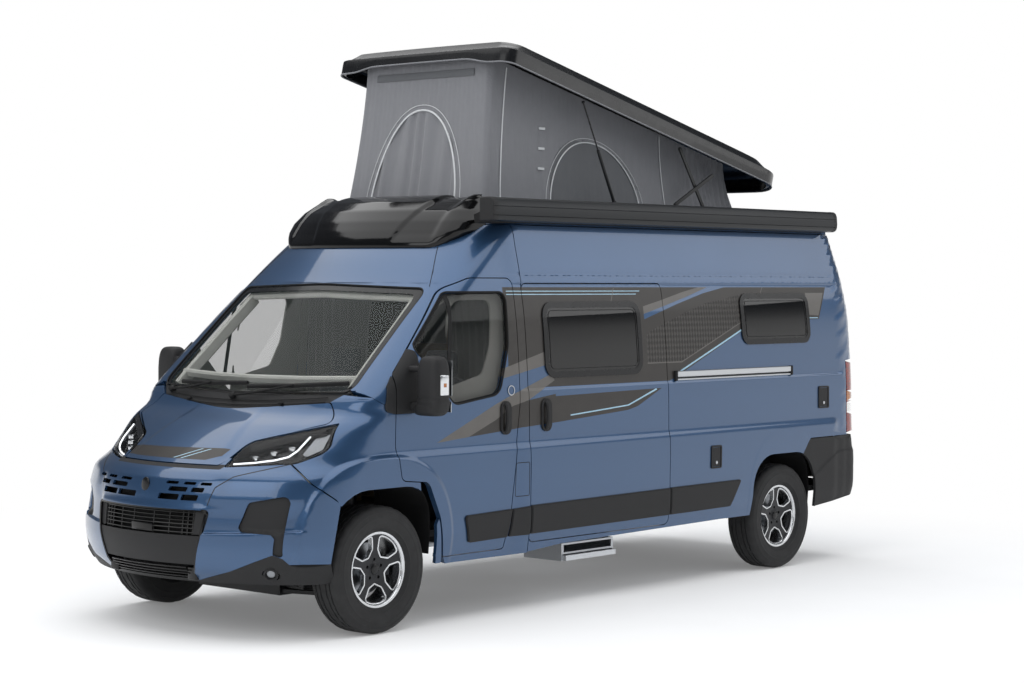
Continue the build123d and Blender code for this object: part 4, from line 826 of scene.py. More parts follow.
# Vinyl on the sides, (x, z) in metres, later ones over earlier ones.
DECALS = [
    (DARK, [(0.95, 1.376), (-0.66, 1.376), (-0.74, 1.40), (-1.0, 1.50), (-1.5, 1.69), (-1.60, 1.72),
            (-2.33, 1.765), (-2.47, 1.765), (-2.60, 1.995), (0.95, 1.995)]),
    (GREY, [(-0.42, 1.87), (-0.6, 1.905), (-0.85, 1.96), (-1.05, 1.995), (-1.15, 1.995), (-0.9, 1.93),
            (-0.6, 1.86), (-0.42, 1.82)]),
    (0, [(-0.42, 1.82), (-0.6, 1.86), (-0.9, 1.93), (-1.15, 1.995), (-1.35, 1.995), (-1.1, 1.955),
         (-0.8, 1.885), (-0.42, 1.785)]),
    (DIAMOND, [(-0.43, 1.68), (-0.5, 1.715), (-0.8, 1.805), (-1.1, 1.885), (-1.5, 1.94), (-1.5, 1.755),
               (-0.80, 1.50), (-0.43, 1.50)]),
    (GREY, [(-0.43, 1.50), (-0.80, 1.50), (-1.5, 1.755), (-1.5, 1.748), (-0.802, 1.493), (-0.43, 1.493)]),
    (PALE, [(-0.78, 1.44), (-1.5, 1.705), (-1.5, 1.693), (-0.78, 1.428)]),
    (PALE, [(0.92, 1.973), (-0.40, 1.973), (-0.40, 1.968), (0.92, 1.968)]),
    (PALE, [(0.92, 1.953), (-0.36, 1.953), (-0.36, 1.948), (0.92, 1.948)]),
    (GREY, [(-0.13, 1.99), (-0.09, 1.905), (-0.096, 1.905), (-0.136, 1.99)]),
    (GREY, [(-1.80, 1.995), (-1.76, 1.945), (-1.766, 1.945), (-1.806, 1.995)]),
    (GREY, [(1.0, 1.50), (0.58, 1.60), (0.58, 1.515), (1.0, 1.44)]),
    (0, [(1.0, 1.44), (0.58, 1.515), (0.55, 1.455), (0.60, 1.44), (0.95, 1.33), (1.0, 1.315)]),
    (DARK, [(1.32, 1.10), (1.08, 1.19), (0.92, 1.27), (0.78, 1.30), (0.52, 1.33), (0.55, 1.15), (0.84, 1.135),
            (0.95, 1.125)]),
    (GREY, [(1.60, 1.078), (1.08, 1.285), (0.95, 1.33), (0.60, 1.44), (0.55, 1.455), (0.52, 1.415),
            (0.78, 1.30), (0.92, 1.27), (1.08, 1.19), (1.32, 1.10)]),
    (DARK, [(0.55, 1.315), (-0.56, 1.33), (-0.3, 1.22), (-0.2, 1.20), (0.55, 1.15)]),
    (PALE, [(0.38, 1.195), (-0.2, 1.235), (-0.5, 1.33), (-0.512, 1.322), (-0.205, 1.227), (0.38, 1.187)]),
    (GREY, [(-2.33, 1.955), (-2.56, 1.955), (-2.47, 1.79), (-2.33, 1.80)]),
    (PALE, [(-2.33, 1.778), (-2.46, 1.778), (-2.457, 1.772), (-2.33, 1.772)]),
]


def decals(side):
    """The vinyl of one side, as areas of a panel."""
    return [(on_side(sharp_line(*points), side, step=0.05), finish) for finish, points in DECALS]


LEDGE_HEIGHTS = (0.990, 1.007, 1.024, 1.041, 1.058, 1.352, 1.358, 1.364, 1.370, 1.376, 2.010, 2.013, 2.016,
                 2.019, 2.022, 2.064, 2.072, 2.080, 2.090)


def ledges(side, x_from, x_to):
    """Lines that keep the mesh crisp along the pressed ledges and the wheel-arch flares."""
    lines = []
    for z in LEDGE_HEIGHTS:
        xs = np.linspace(x_from, x_to, max(3, int((x_to - x_from) / 0.04)))
        lines.append(np.stack([s_from_x(xs, z, side), np.full(len(xs), z)], axis=1))
    for cx, cz, rx, rz in FLARES:
        if not x_from - rx < cx < x_to + rx:
            continue
        for ring in (1.0, 0.985, 0.965, 0.935):
            a = np.linspace(-0.25, math.pi + 0.25, 110)
            c, s = np.cos(a), np.sin(a)
            xs = cx + rx * ring * np.sign(c) * np.abs(c) ** (2 / FLARE_POWER)
            zs = cz + rz * ring * np.sign(s) * np.abs(s) ** (2 / FLARE_POWER)
            lines.append(np.stack([s_from_x(xs, zs, side), zs], axis=1))
    return lines


def side_run(side, points):
    """Outline points given by x and height on one side."""
    return [(s_from_x(x, z, side), z) for x, z in points]


REAR_DOOR_EDGE = 0.812  # the rear door opening, from the middle
SIDE_TOP = 2.377        # where the sides meet the roof panel
for side, label in SIDES:
    far = side_run(side, [(0.773, z) for z in np.linspace(0.366, SIDE_TOP, 40)])
    top = side_run(side, [(x, SIDE_TOP) for x in np.linspace(0.70, -2.65, 40)])
    top += [(s_from_tail_y(side * y, SIDE_TOP), SIDE_TOP) for y in np.linspace(0.84, 0.748, 5)]
    back = [(s_from_tail_y(side * 0.748, z), z) for z in (2.34, 2.30, 2.20)]
    back += [(s_from_tail_y(side * (REAR_DOOR_EDGE - 0.064 * float(ease(z, 1.95, 2.20))), z), z)
             for z in np.linspace(2.17, 0.48, 40)]
    sill = side_run(side, SILL[::-1])
    body_side = np.array(far + top + back + sill)
    bumper_corner = np.array(side_run(side, [(-2.197, 0.38), (-2.197, 0.80), (-2.296, 0.913), (-2.80, 0.913)])
                             + [(s_from_tail_y(side * 0.79, z), z) for z in (0.913, 0.40)])
    lamp_corner = np.array(side_run(side, [(-2.787, z) for z in np.linspace(0.922, 1.458, 12)])
                           + [(s_from_tail_y(side * 0.79, z), z) for z in (1.458, 0.922)])
    cuts = [on_side(REAR_ARCH, side), bumper_corner, lamp_corner, on_side(BED_WINDOW, side)]
    if side > 0:
        cuts.append(on_side(grown(SLIDING_DOOR, GAP / 2), side))
        cuts.append(np.array(side_run(side, [(0.764, 0.45), (0.80, 0.45), (0.80, 1.99), (0.764, 1.99)])))
    else:
        cuts.append(on_side(DOOR_WINDOW, side))
    made = panel(f"body_side_{label}_skin", body_chart, [body_side], PANEL_FINISHES, cuts, decals(side),
                 ledges(side, -2.80, 0.77))
    settle(made, "root", "body_paint", f"body_side_{label}")

    outline = grown(CAB_DOOR, -GAP)
    made = panel(f"cab_door_{label}_skin", body_chart, [on_side(outline, side)], PANEL_FINISHES,
                 [on_side(CAB_WINDOW, side)], decals(side), ledges(side, 0.85, 2.02))
    settle(made, f"cab_door_{label}", "body_paint", f"cab_door_{label}")

made = panel("sliding_door_skin", body_chart, [on_side(grown(SLIDING_DOOR, -GAP / 2))], PANEL_FINISHES,
             [on_side(DOOR_WINDOW)], decals(1), ledges(1, -0.63, 0.77))
settle(made, "root", "body_paint", "sliding_door")

# Cab frame: pillars, header over the screen and the rails over the cab doors, in one pressing.
nose_top = [(s_from_x(0.779, z, 1), z) for z in np.linspace(0.36, SIDE_TOP, 50)]
header_half = float(s_from_x(0.72, SIDE_TOP))
header = [(s, SIDE_TOP) for s in np.linspace(header_half, -header_half, 90)]
cab_outline = np.array(nose_top + header + [(-s, z) for s, z in nose_top[::-1]])
wing_zone = [(s_from_x(x, z, 1), z) for x, z in
             [(1.500, 0.20), (1.500, 0.75), (1.500, 1.29), (1.75, 1.29), (1.955, 1.29), (2.0, 1.31),
              (2.045, 1.33), (2.090, 1.366)]]
wing_zone += [(s_from_y(0.86, z), z) for z in (1.392, 1.398)]
below = np.array(wing_zone + [(s_from_y(0.825, 1.398), 1.398), (s_from_y(0.78, 1.45), 1.45),
                              (s_from_y(-0.78, 1.45), 1.45), (s_from_y(-0.825, 1.398), 1.398)]
                 + [(-s, z) for s, z in wing_zone[::-1]])
made = panel("cab_frame_skin", body_chart, [cab_outline], PANEL_FINISHES,
             [on_side(CAB_DOOR), on_side(CAB_DOOR, -1), on_front(grown(WINDSCREEN, 0.002)), below],
             decals(1) + decals(-1), ledges(1, 0.78, 1.6) + ledges(-1, 0.78, 1.6), step=(0.05, 0.04))
settle(made, "root", "body_paint", "cab_frame")


def bonnet_crease(z):
    """How far from the middle a bonnet crease runs, at a height."""
    return 0.40 - 0.42 * (z - 1.0)


def dome(uv, depth):
    """Bonnet skin: two soft creases run back from the lamps and the middle stands up between them."""
    point = skin_point(uv[:, 0], uv[:, 1], 0.0)
    y = np.abs(point[:, 1])
    crease = bonnet_crease(point[:, 2])
    swell = 0.007 * (ease(y, crease + 0.035, crease - 0.035) - 1) * ease(point[:, 2], 0.975, 1.03)
    swell = swell * ease(y, 0.80, 0.62) * ease(point[:, 2], 1.33, 1.22)
    return skin_point(uv[:, 0], uv[:, 1], depth + swell)


STRIPE = [(-0.57, 1.050), (0.39, 1.070), (0.38, 1.030), (0.30, 1.005), (-0.30, 1.003), (-0.57, 1.010)]
SLASHES = [[(0.05 + k, 1.008), (0.20 + k, 1.062), (0.212 + k, 1.062), (0.062 + k, 1.008)]
           for k in (0.0, 0.06)]
stripe_areas = [(on_front(sharp_line(*STRIPE)), DARK)]
stripe_areas += [(on_front(sharp_line(*slash)), PALE) for slash in SLASHES]
crease_lines = []
for side in (1, -1):
    for shift in (-0.035, 0.0, 0.035):
        zs = np.linspace(0.985, 1.30, 14)
        ys = side * (bonnet_crease(zs) + shift)
        crease_lines.append(np.stack([s_from_y(ys, zs), zs], axis=1))
made = panel("bonnet_skin", dome, [on_front(grown(BONNET, -GAP))], PANEL_FINISHES, (), stripe_areas,
             crease_lines, step=(0.035, 0.02), thick=0.012, lining=0)
settle(made, "bonnet", "body_paint", "bonnet")

# Front wings, from the cab door forwards to the lamp and the bumper.
for side, label in SIDES:
    lower = side_run(side, [(1.60, 0.42), (1.62, 0.315), (2.40, 0.34)])
    tip = side_run(side, [(2.389, 0.34), (2.389, 0.76), (2.42, 0.801), (2.50, 0.86), (2.541, 0.897),
                          (2.553, 1.02)])
    tip += [(s_from_y(side * y, z), z) for y, z in ((0.83, 1.04), (0.60, 1.10), (0.55, 1.14), (0.62, 1.22),
                                                    (0.745, 1.334))]
    rear = [(s_from_y(side * 0.80, 1.372), 1.372)]
    rear += side_run(side, [(2.088, 1.360), (2.043, 1.326), (2.0, 1.306), (1.954, 1.287), (1.60, 1.287),
                            (1.51, 1.20)])
    wing = np.array(lower + tip + rear)
    cuts = [on_side(CAB_DOOR, side), on_side(FRONT_ARCH, side), on_front(grown(facing(LAMP, side), GAP / 2)),
            on_front(BONNET)]
    made = panel(f"front_wing_{label}", body_chart, [wing], PANEL_FINISHES, cuts, [], ledges(side, 1.5, 2.4),
                 step=(0.03, 0.025), thick=0.024)
    settle(made, "root", "body_paint", *if_left(side, "front_wings"))
    strip = sharp_line((1.552, 0.368), (1.596, 0.368), (1.606, 0.45), (1.617, 0.60), (1.600, 0.63),
                       (1.590, 0.61), (1.572, 0.50), (1.554, 0.405))
    made = panel(f"wing_tail_{label}", body_chart, [on_side(strip, side)], [LACQUER], step=(0.02, 0.02),
                 thick=0.024)
    settle(made, "root", "body_paint")


def at_depth(offset):
    """The body chart moved in or out by a distance."""
    return lambda uv, depth: skin_point(uv[:, 0], uv[:, 1], depth + offset)


def skirt(outline, out_from, out_to):
    """(verts, faces) of the wall between two depths along a closed outline on the skin."""
    outline = turned_left(outline)
    n = len(outline)
    verts = np.concatenate([skin_point(outline[:, 0], outline[:, 1], d) for d in (out_from, out_to)])
    return verts, [(k, (k + 1) % n, n + (k + 1) % n, n + k) for k in range(n)]


def along_front(points, depth, step=0.02):
    """Points on the skin under a line drawn in the front view."""
    line = on_front([(*p, 0) for p in points], closed=False, step=step)
    return skin_point(line[:, 0], line[:, 1], depth)


def along_side(points, side, depth, step=0.03):
    """Points on the skin under a line drawn in the side view."""
    line = on_side([(*p, 0) for p in points], side, closed=False, step=step)
    return skin_point(line[:, 0], line[:, 1], depth)


def seal_along(outline, out, section, up):
    """(verts, faces) of a closed strip that follows an outline on the skin."""
    return sweep(skin_point(outline[:, 0], outline[:, 1], out), section, up, closed=True)


def turned_to(part, centre, axis):
    """A part made about the Y axis at the origin, turned to point along another axis and moved."""
    turn = Vector((0, 1, 0)).rotation_difference(Vector(axis)).to_matrix()
    verts, faces = part
    return np.array(verts, float) @ np.array(turn).T + np.asarray(centre, float), faces


def button(centre, axis, radius, height, crown=0.3):
    """(verts, faces) of a domed round boss that stands on a surface."""
    profile = [(radius * math.cos(t), height * (1 - crown) + height * crown * math.sin(t))
               for t in np.linspace(0, math.pi / 2, 8)][:-1]
    profile = [(0.0005, -0.002), (radius, -0.002)] + profile + [(0.0005, height)]
    return turned_to(lathed(profile, (0, 0, 0), 40), centre, axis)


# ---------------------------------------------------------------- nose: bumper, grille, lamps, cowl, wipers
# Grille slots, a row each: height of the row, height of a slot, and each slot's ends across.
SLOTS = [
    (0.885, 0.016, (-0.55, -0.48), (-0.42, -0.32), (-0.26, -0.15), (0.16, 0.25), (0.29, 0.37), (0.40, 0.47)),
    (0.850, 0.026, (-0.50, -0.39), (-0.35, -0.18), (0.19, 0.32), (0.35, 0.43)),
    (0.805, 0.033, (-0.45, -0.28), (-0.26, -0.08), (0.12, 0.27), (0.29, 0.40)),
]
edge = side_run(1, [(2.395, 0.335), (2.395, 0.776), (2.425, 0.796), (2.505, 0.855), (2.548, 0.893),
                    (2.560, 1.02)])
low_edge = [(s, 0.325) for s in np.linspace(-float(s_from_x(2.45, 0.325)), float(s_from_x(2.45, 0.325)), 80)]
high_edge = [(s, 1.02) for s in np.linspace(edge[-1][0] - 0.01, -edge[-1][0] + 0.01, 60)]
bumper_outline = np.array(low_edge + edge + high_edge + [(-s, z) for s, z in edge[::-1]])
SLOT_LEAN = 0.008    # a slot's upper edge is set this far to the left
SLOT_CORNER = 0.006
slot_outlines = []
for z, height, *spans in SLOTS:
    for low, high in spans:
        corners = ((low, z - height / 2), (high, z - height / 2),
                   (high + SLOT_LEAN, z + height / 2), (low + SLOT_LEAN, z + height / 2))
        slot_outlines.append([(u, v, SLOT_CORNER) for u, v in corners])
valance = [(-0.35, 0.30), (-0.36, 0.33), (-0.60, 0.40), (-0.83, 0.50), (-0.87, 0.48), (-0.89, 0.445)]
valance_side = side_run(1, [(2.44, 0.445), (2.36, 0.44), (2.36, 0.28), (2.44, 0.28)])
front_low = [(s_from_y(y, z), z) for y, z in valance]
valance_left = np.array([(-s, z) for s, z in front_low] + valance_side + [(s_from_y(0.60, 0.28), 0.28)])
SEAM = [(0.465, 0.765), (0.495, 0.870), (0.575, 0.930), (0.820, 1.008), (0.822, 1.002), (0.580, 0.925),
        (0.500, 0.866), (0.470, 0.764)]
bumper_areas = [(valance_left, PLASTIC), (valance_left * (-1, 1), PLASTIC)]
UNDER_BONNET = drawn((-452, 960, 8), (452, 960, 8), (470, 985, 5), (-470, 985, 5))
UNDER_MOUTH = drawn((-362, 290, 0), (362, 290, 0), (372, 341, 4), (-372, 341, 4))
bumper_areas += [(on_front(UNDER_BONNET), PLASTIC), (on_front(UNDER_MOUTH), PLASTIC)]
bumper_areas += [(on_front(sharp_line(*SEAM)), PLASTIC), (on_front(flipped(sharp_line(*SEAM))), PLASTIC)]


def wedge_height(y):
    """Height of the folded edge under the lamps, at a distance from the middle."""
    return 0.605 + 0.05 * np.clip(y - 0.45, 0, 0.5)


def bumper_chart(uv, depth):
    """Bumper cover: a shelf under the lamps, a folded edge along the wedge and a proud rim to the mouth."""
    point = skin_point(uv[:, 0], uv[:, 1], 0.0)
    y, z = np.abs(point[:, 1]), point[:, 2]
    shelf = ease(y, 0.44, 0.52) * ease(z, 0.925, 0.90) * ease(z, 0.80, 0.84)
    wedge_top = wedge_height(y)
    fold = ease(z, wedge_top - 0.004, wedge_top + 0.012) * ease(z, 0.84, 0.70) * ease(y, 0.43, 0.50)
    brow = ease(y, 0.62, 0.50) * ease(z, 0.74, 0.78) * ease(z, 0.945, 0.915)
    point_out = -0.020 * fold - 0.006 * brow - 0.004 * shelf
    return skin_point(uv[:, 0], uv[:, 1], depth + point_out * ease(y, 0.98, 0.90))


lamp_holes = [on_front(grown(facing(LAMP, side), GAP / 2)) for side, _ in SIDES]
insert_holes = [on_front(facing(INSERT, side)) for side, _ in SIDES]
FOG_AT = (0.802, 0.386)
FOG = [(FOG_AT[0] + 0.040 * math.cos(a), FOG_AT[1] + 0.030 * math.sin(a), 0)
       for a in np.linspace(0, 2 * math.pi, 24)[:-1]]
fog_holes = [on_front(facing(FOG, side)) for side, _ in SIDES]
wedge_lines = []
for side in (1, -1):
    for rise in (-0.004, 0.002, 0.007, 0.012):
        ys = np.linspace(0.455, 0.97, 44)
        zs = wedge_height(ys) + rise
        wedge_lines.append(np.stack([s_from_y(side * ys, zs), zs], axis=1))
bumper = panel("front_bumper_cover", bumper_chart, [bumper_outline], PANEL_FINISHES,
               [*lamp_holes, on_front(BONNET), on_front(MOUTH), *insert_holes, *fog_holes,
                *[on_front(s) for s in slot_outlines]],
               bumper_areas, wedge_lines, step=(0.025, 0.02), thick=0.014, lining=5)
settle(bumper, "root", "grey_plastic", "front_bumper", "front_valance")

grille_parts = []
for side, label in SIDES:
    shape = facing(INSERT, side)
    grille_parts.append(skirt(on_front(shape), -0.021, -0.034))
    insert = panel(f"bumper_insert_{label}", lambda uv, depth: bumper_chart(uv, depth - 0.012),
                   [on_front(shape)], [TRIM_PLASTIC], step=(0.03, 0.03), thick=0.006)
    settle(insert, "root", "grey_plastic")
mouth = on_front(MOUTH, step=0.012)
BEHIND_SLOTS = drawn((-600, 765, 10), (600, 765, 10), (560, 905, 10), (-560, 905, 10))
backing = panel("grille_backing", at_depth(-0.070), [on_front(grown(MOUTH, 0.02)), on_front(BEHIND_SLOTS)],
                [SEAL], step=(0.05, 0.04), thick=0.004)
settle(backing, "root", "grey_plastic")
for shape in slot_outlines:
    grille_parts.append(skirt(on_front(shape), -0.006, -0.030))
LIP = [(-0.010, -0.010), (0.008, -0.010), (0.006, 0.004), (-0.008, 0.006)]
grille_parts.append(seal_along(mouth, -0.006, LIP, (1, 0, 0)))
grille_parts.append(skirt(on_front(MOUTH), -0.004, -0.060))
for z in (0.608, 0.634, 0.656, 0.678, 0.700, 0.722, 0.742):
    grille_parts.append(sweep(along_front([(-0.41, z), (0, z), (0.41, z)], -0.026), bar(0.016, 0.0075)))
for y in (0.09, 0.215, 0.315, 0.350, 0.385):
    for side in (1, -1):
        grille_parts.append(sweep(along_front([(side * y, 0.597), (side * y, 0.752)], -0.030, 0.05),
                                  bar(0.011 if y < 0.3 else 0.016, 0.010), (0, 1, 0)))
middle_x = float(bare_point(0.0, 0.62)[0])
grille_parts.append(block((middle_x - 0.040, -0.092, 0.598), (middle_x - 0.018, 0.092, 0.646), 0.004, 2))
for z in (0.345, 0.364, 0.383, 0.402):
    grille_parts.append(sweep(along_front([(-0.33, z), (0, z), (0.33, z)], -0.014), bar(0.024, 0.007)))
for y in (-0.345, 0.345):
    x = float(bare_point(s_from_y(y, 0.37), 0.37)[0])
    grille_parts.append(block((x - 0.05, y - 0.035, 0.335), (x - 0.006, y + 0.035, 0.412), 0.006))
grille = joined("grille_mesh", grille_parts, GLOSS_BLACK, 30)
settle(grille, "root", "gloss_black", "grille")
PLATE = drawn((-455, 592, 12), (-432, 424, 12), (432, 424, 12), (455, 592, 12))
plate = panel("bare_plate_panel", at_depth(-0.008), [on_front(PLATE)], [TRIM_PLASTIC], thick=0.012,
              step=(0.05, 0.05))
settle(plate, "root", "grey_plastic")
for side, label in SIDES:
    cheek = drawn((394, 600, 4), (452, 600, 4), (466, 742, 6), (400, 752, 4))
    cheek_piece = panel(f"grille_cheek_{label}", at_depth(-0.014), [on_front(facing(cheek, side))],
                        [TRIM_PLASTIC], thick=0.010, step=(0.03, 0.03))
    settle(cheek_piece, "root", "grey_plastic")
badge_x = float(bare_point(0.0, 0.862)[0])
boss = button((0.0, 0.0, 0.0), (1, 0, 0.12), 0.033, 0.010, 0.6)
boss = (boss[0] * (1, 1, 1.3) + (badge_x - 0.006, 0.0, 0.858), boss[1])
badge = joined("bare_boss", [boss], SHELL_BLACK)
settle(badge, "root", "gloss_black")

for side, label in SIDES:
    shape = facing(LAMP, side)
    cover = panel(f"headlamp_lens_{label}", at_depth(-0.001), [on_front(grown(shape, -0.002))], [CLEAR_LENS],
                  thick=0.004, step=(0.03, 0.02))
    settle(cover, "root", "lamp_lens", *if_left(side, "headlamps"))
    bowl = panel(f"headlamp_bowl_{label}", at_depth(-0.060), [on_front(grown(shape, -0.003))], [GLOSS_BLACK],
                 thick=0.004, step=(0.03, 0.02))
    settle(bowl, "root", "gloss_black")
    inside = [skirt(on_front(grown(shape, -0.003)), -0.006, -0.060)]
    rim = on_front(grown(shape, -0.010), step=0.015)
    inside.append(seal_along(rim, -0.010, bar(0.016, 0.006), (0, 0, 1)))
    brow = [(side * y, z) for y, z in ((0.50, 1.085), (0.62, 1.125), (0.74, 1.155), (0.85, 1.185))]
    inside.append(sweep(along_front(brow, -0.026), bar(0.036, 0.046), (0, 0, 1)))
    settle(joined(f"headlamp_frame_{label}", inside, GLOSS_BLACK), "root", "gloss_black")
    units = []
    for y, z in ((0.56, 1.045), (0.645, 1.072), (0.725, 1.098)):
        z = np.array([z])
        centre = skin_point(s_from_y(np.array([side * y]), z), z, -0.036)[0]
        units.append(block(centre - (0.020, 0.023, 0.014), centre + (0.012, 0.023, 0.014), 0.006))
    settle(joined(f"headlamp_reflectors_{label}", units, CHROME), "root", "lamp_lens")
    strip = [(side * y, z) for y, z in ((0.49, 0.996), (0.60, 1.006), (0.70, 1.022), (0.755, 1.040),
                                        (0.780, 1.075), (0.790, 1.150))]
    guide = sweep(along_front(strip, -0.010, 0.015), circle(0.0050, 10), (0, 0, 1))
    settle(joined(f"headlamp_guide_{label}", [guide], LED_WHITE), "root", "lamp_lens")
    turn_shape = drawn((808, 1062, 12), (838, 1052, 12), (893, 1088, 20), (878, 1178, 8), (812, 1160, 12))
    turn_unit = panel(f"headlamp_turn_unit_{label}", at_depth(-0.030), [on_front(facing(turn_shape, side))],
                      [STEEL], thick=0.006, step=(0.02, 0.02))
    settle(turn_unit, "root", "lamp_lens")
    fog_z = np.array([FOG_AT[1]])
    fog_s = s_from_y(np.array([side * FOG_AT[0]]), fog_z)
    fog_at, fog_axis = skin_point(fog_s, fog_z)[0], skin_normal(fog_s, fog_z)[0]
    bezel_profile = [(0.026, -0.012), (0.040, -0.012), (0.042, 0.001), (0.034, 0.004), (0.028, -0.004)]
    bezel = turned_to(lathed(bezel_profile, (0, 0, 0), 40), fog_at, fog_axis)
    settle(joined(f"fog_bezel_{label}", [bezel], TRIM_PLASTIC), "root", "grey_plastic")
    settle(joined(f"fog_lens_{label}", [button(fog_at - fog_axis * 0.014, fog_axis, 0.024, 0.010)], STEEL),
           "root", "lamp_lens")

cowl_outline = [(-0.834, 1.3935), (-0.797, 1.3765), (-0.742, 1.338), (-0.70, 1.25), (0.70, 1.25),
                (0.742, 1.338), (0.797, 1.3765), (0.834, 1.3935), (0.80, 1.41), (-0.80, 1.41)]
cowl = panel("cowl_cover", at_depth(-0.012), [on_front(sharp_line(*cowl_outline))], [TRIM_PLASTIC],
             [on_front(grown(BONNET, 0.001)), on_front(grown(WINDSCREEN, 0.004))], step=(0.04, 0.02),
             thick=0.012)
settle(cowl, "root", "grey_plastic", "cowl")
wiper_parts = []
for low, high in (((-0.70, 1.348), (0.70, 1.358)), ((-0.70, 1.322), (0.70, 1.332))):
    bow = [(low[0] + (high[0] - low[0]) * t, low[1] + (high[1] - low[1]) * t - 0.030 * (1 - (2 * t - 1) ** 2))
           for t in np.linspace(0, 1, 15)]
    wiper_parts.append(sweep(along_front(bow, -0.004, 0.05), bar(0.006, 0.005)))
for pivot, tip_from, tip_to in (((-0.02, 1.338), (0.06, 1.392), (0.79, 1.430)),
                                ((-0.66, 1.352), (-0.60, 1.398), (0.04, 1.412))):
    base = along_front([pivot, (pivot[0], pivot[1] + 0.001)], 0.012, 1.0)[0]
    bend = ((tip_from[0] + tip_to[0]) / 2, (tip_from[1] + tip_to[1]) / 2 - 0.004)
    blade = along_front([tip_from, bend, tip_to], 0.010)
    arm_end = blade[len(blade) // 2] + (0.012, 0, 0.006)
    wiper_parts.append(sweep(blade, [(-0.004, -0.012), (0.004, -0.012), (0.009, 0.006), (0.0, 0.014),
                                     (-0.009, 0.006)]))
    middle = (base + arm_end) / 2 + (0.010, 0, -0.006)
    wiper_parts.append(tube([base, middle, arm_end], 0.007, 8))
    wiper_parts.append(button(base - (0.012, 0, 0.006), (0.75, 0, 0.66), 0.022, 0.026))
for y in (-0.42, 0.40):
    nozzle = along_front([(y, 1.310), (y, 1.311)], 0.004, 1.0)[0]
    wiper_parts.append(block(nozzle - (0.012, 0.016, 0.006), nozzle + (0.012, 0.016, 0.008), 0.005))
settle(joined("wipers", wiper_parts, SEAL, 30), "root", "grey_plastic")

# ---------------------------------------------------------------- glass
SCREEN_CLEAR = drawn((-800, 1398, 45), (-760, 1958, 45), (0, 1980, 3000), (760, 1958, 45), (800, 1398, 45),
                     (0, 1376, 3000))
screen = panel("windscreen_pane", at_depth(-0.008), [on_front(grown(WINDSCREEN, -0.003))],
               [SHELL_BLACK, SCREEN_GLASS], [], [(on_front(SCREEN_CLEAR), 1)], step=(0.06, 0.05), thick=0.006,
               lining="same")
settle(screen, "root", "glass", "windscreen")
screen_seal = seal_along(on_front(grown(WINDSCREEN, -0.001)), -0.004, bar(0.008, 0.008), (1, 0, 0.4))
settle(joined("windscreen_seal", [screen_seal], SEAL), "root", "grey_plastic")

BAR = [(1.392, 2.05), (1.418, 2.05), (1.514, 1.24), (1.488, 1.24)]
TRIM_INNER = drawn((1372, 1926, 60), (1010, 1930, 50), (1045, 1640, 160), (1130, 1470, 60), (1440, 1400, 40),
                   (1462, 1560, 0))
QUARTER_LIGHT = sharp_line((1.47, 1.30), (1.80, 1.30), (1.80, 1.80), (1.40, 1.95))
for side, label in SIDES:
    ring = on_side(grown(CAB_WINDOW, -0.003), side)
    quarter = sharp_line(*BAR)
    pane = panel(f"cab_pane_{label}", at_depth(-0.012), [ring], [SEAL, CAB_GLASS], [],
                 [(on_side(grown(CAB_WINDOW, -0.012), side), 1), (on_side(quarter, side), 0)],
                 step=(0.06, 0.05), thick=0.005, lining="same")
    settle(pane, f"cab_door_{label}", "glass", f"cab_door_glass_{label}")
    liner = panel(f"cab_door_trim_{label}", at_depth(-0.055), [on_side(grown(CAB_WINDOW, 0.02), side)],
                  [LINING], [on_side(TRIM_INNER, side), on_side(QUARTER_LIGHT, side)], step=(0.05, 0.05),
                  thick=0.012)
    settle(liner, f"cab_door_{label}", "grey_plastic")
    pane_seal = seal_along(on_side(grown(CAB_WINDOW, -0.001), side), -0.001, bar(0.010, 0.007), (0, side, 0))
    settle(joined(f"cab_glass_seal_{label}", [pane_seal], SEAL), f"cab_door_{label}", "grey_plastic")

for side, hand in SIDES:
    for name, shape in (("door", DOOR_WINDOW), ("bed", BED_WINDOW)):
        label = f"{name}_{hand}"
        frame_piece = panel(f"window_frame_{label}", at_depth(0.009), [on_side(grown(shape, 0.010), side)],
                            [SHELL_BLACK], [on_side(grown(shape, -0.028), side)], step=(0.05, 0.05),
                            thick=0.030)
        settle(frame_piece, "root", "grey_plastic")
        pane = panel(f"window_pane_{label}", at_depth(0.006), [on_side(grown(shape, -0.026), side)],
                     [DARK_GLASS], step=(0.06, 0.05), thick=0.006)
        settle(pane, "root", "glass", *(["side_windows"] if label == "door_left" else []))
        channel = seal_along(on_side(grown(shape, -0.044), side), 0.007, bar(0.004, 0.003), (0, side, 0))
        settle(joined(f"window_channel_{label}", [channel], SEAL), "root", "grey_plastic")


# ---------------------------------------------------------------- roof, air deflector, pop-top
def ring_skin(name, rings, material, closed=True, sharp=35.0, capped=False):
    """Skin over rings of equal point counts, with its first and last ring filled where it is capped."""
    verts = np.concatenate(rings)
    n = len(rings[0])
    faces = ring_faces(len(rings), n, closed=closed)
    if capped:
        faces += end_caps(len(rings), n)
    return build(name, verts, faces, material, sharp=sharp)


def table_at(table, z):
    """One row of a plan table at a height, eased between its rows."""
    table = np.array(table)
    return [float(np.interp(z, table[:, 0], table[:, k])) for k in range(1, 7)]


def tail_s(z):
    """Distance round the outline from the nose to the middle of the tail."""
    p = plan_at(z)
    return float(p["l4"] + p["half"] - p["tail_r"])


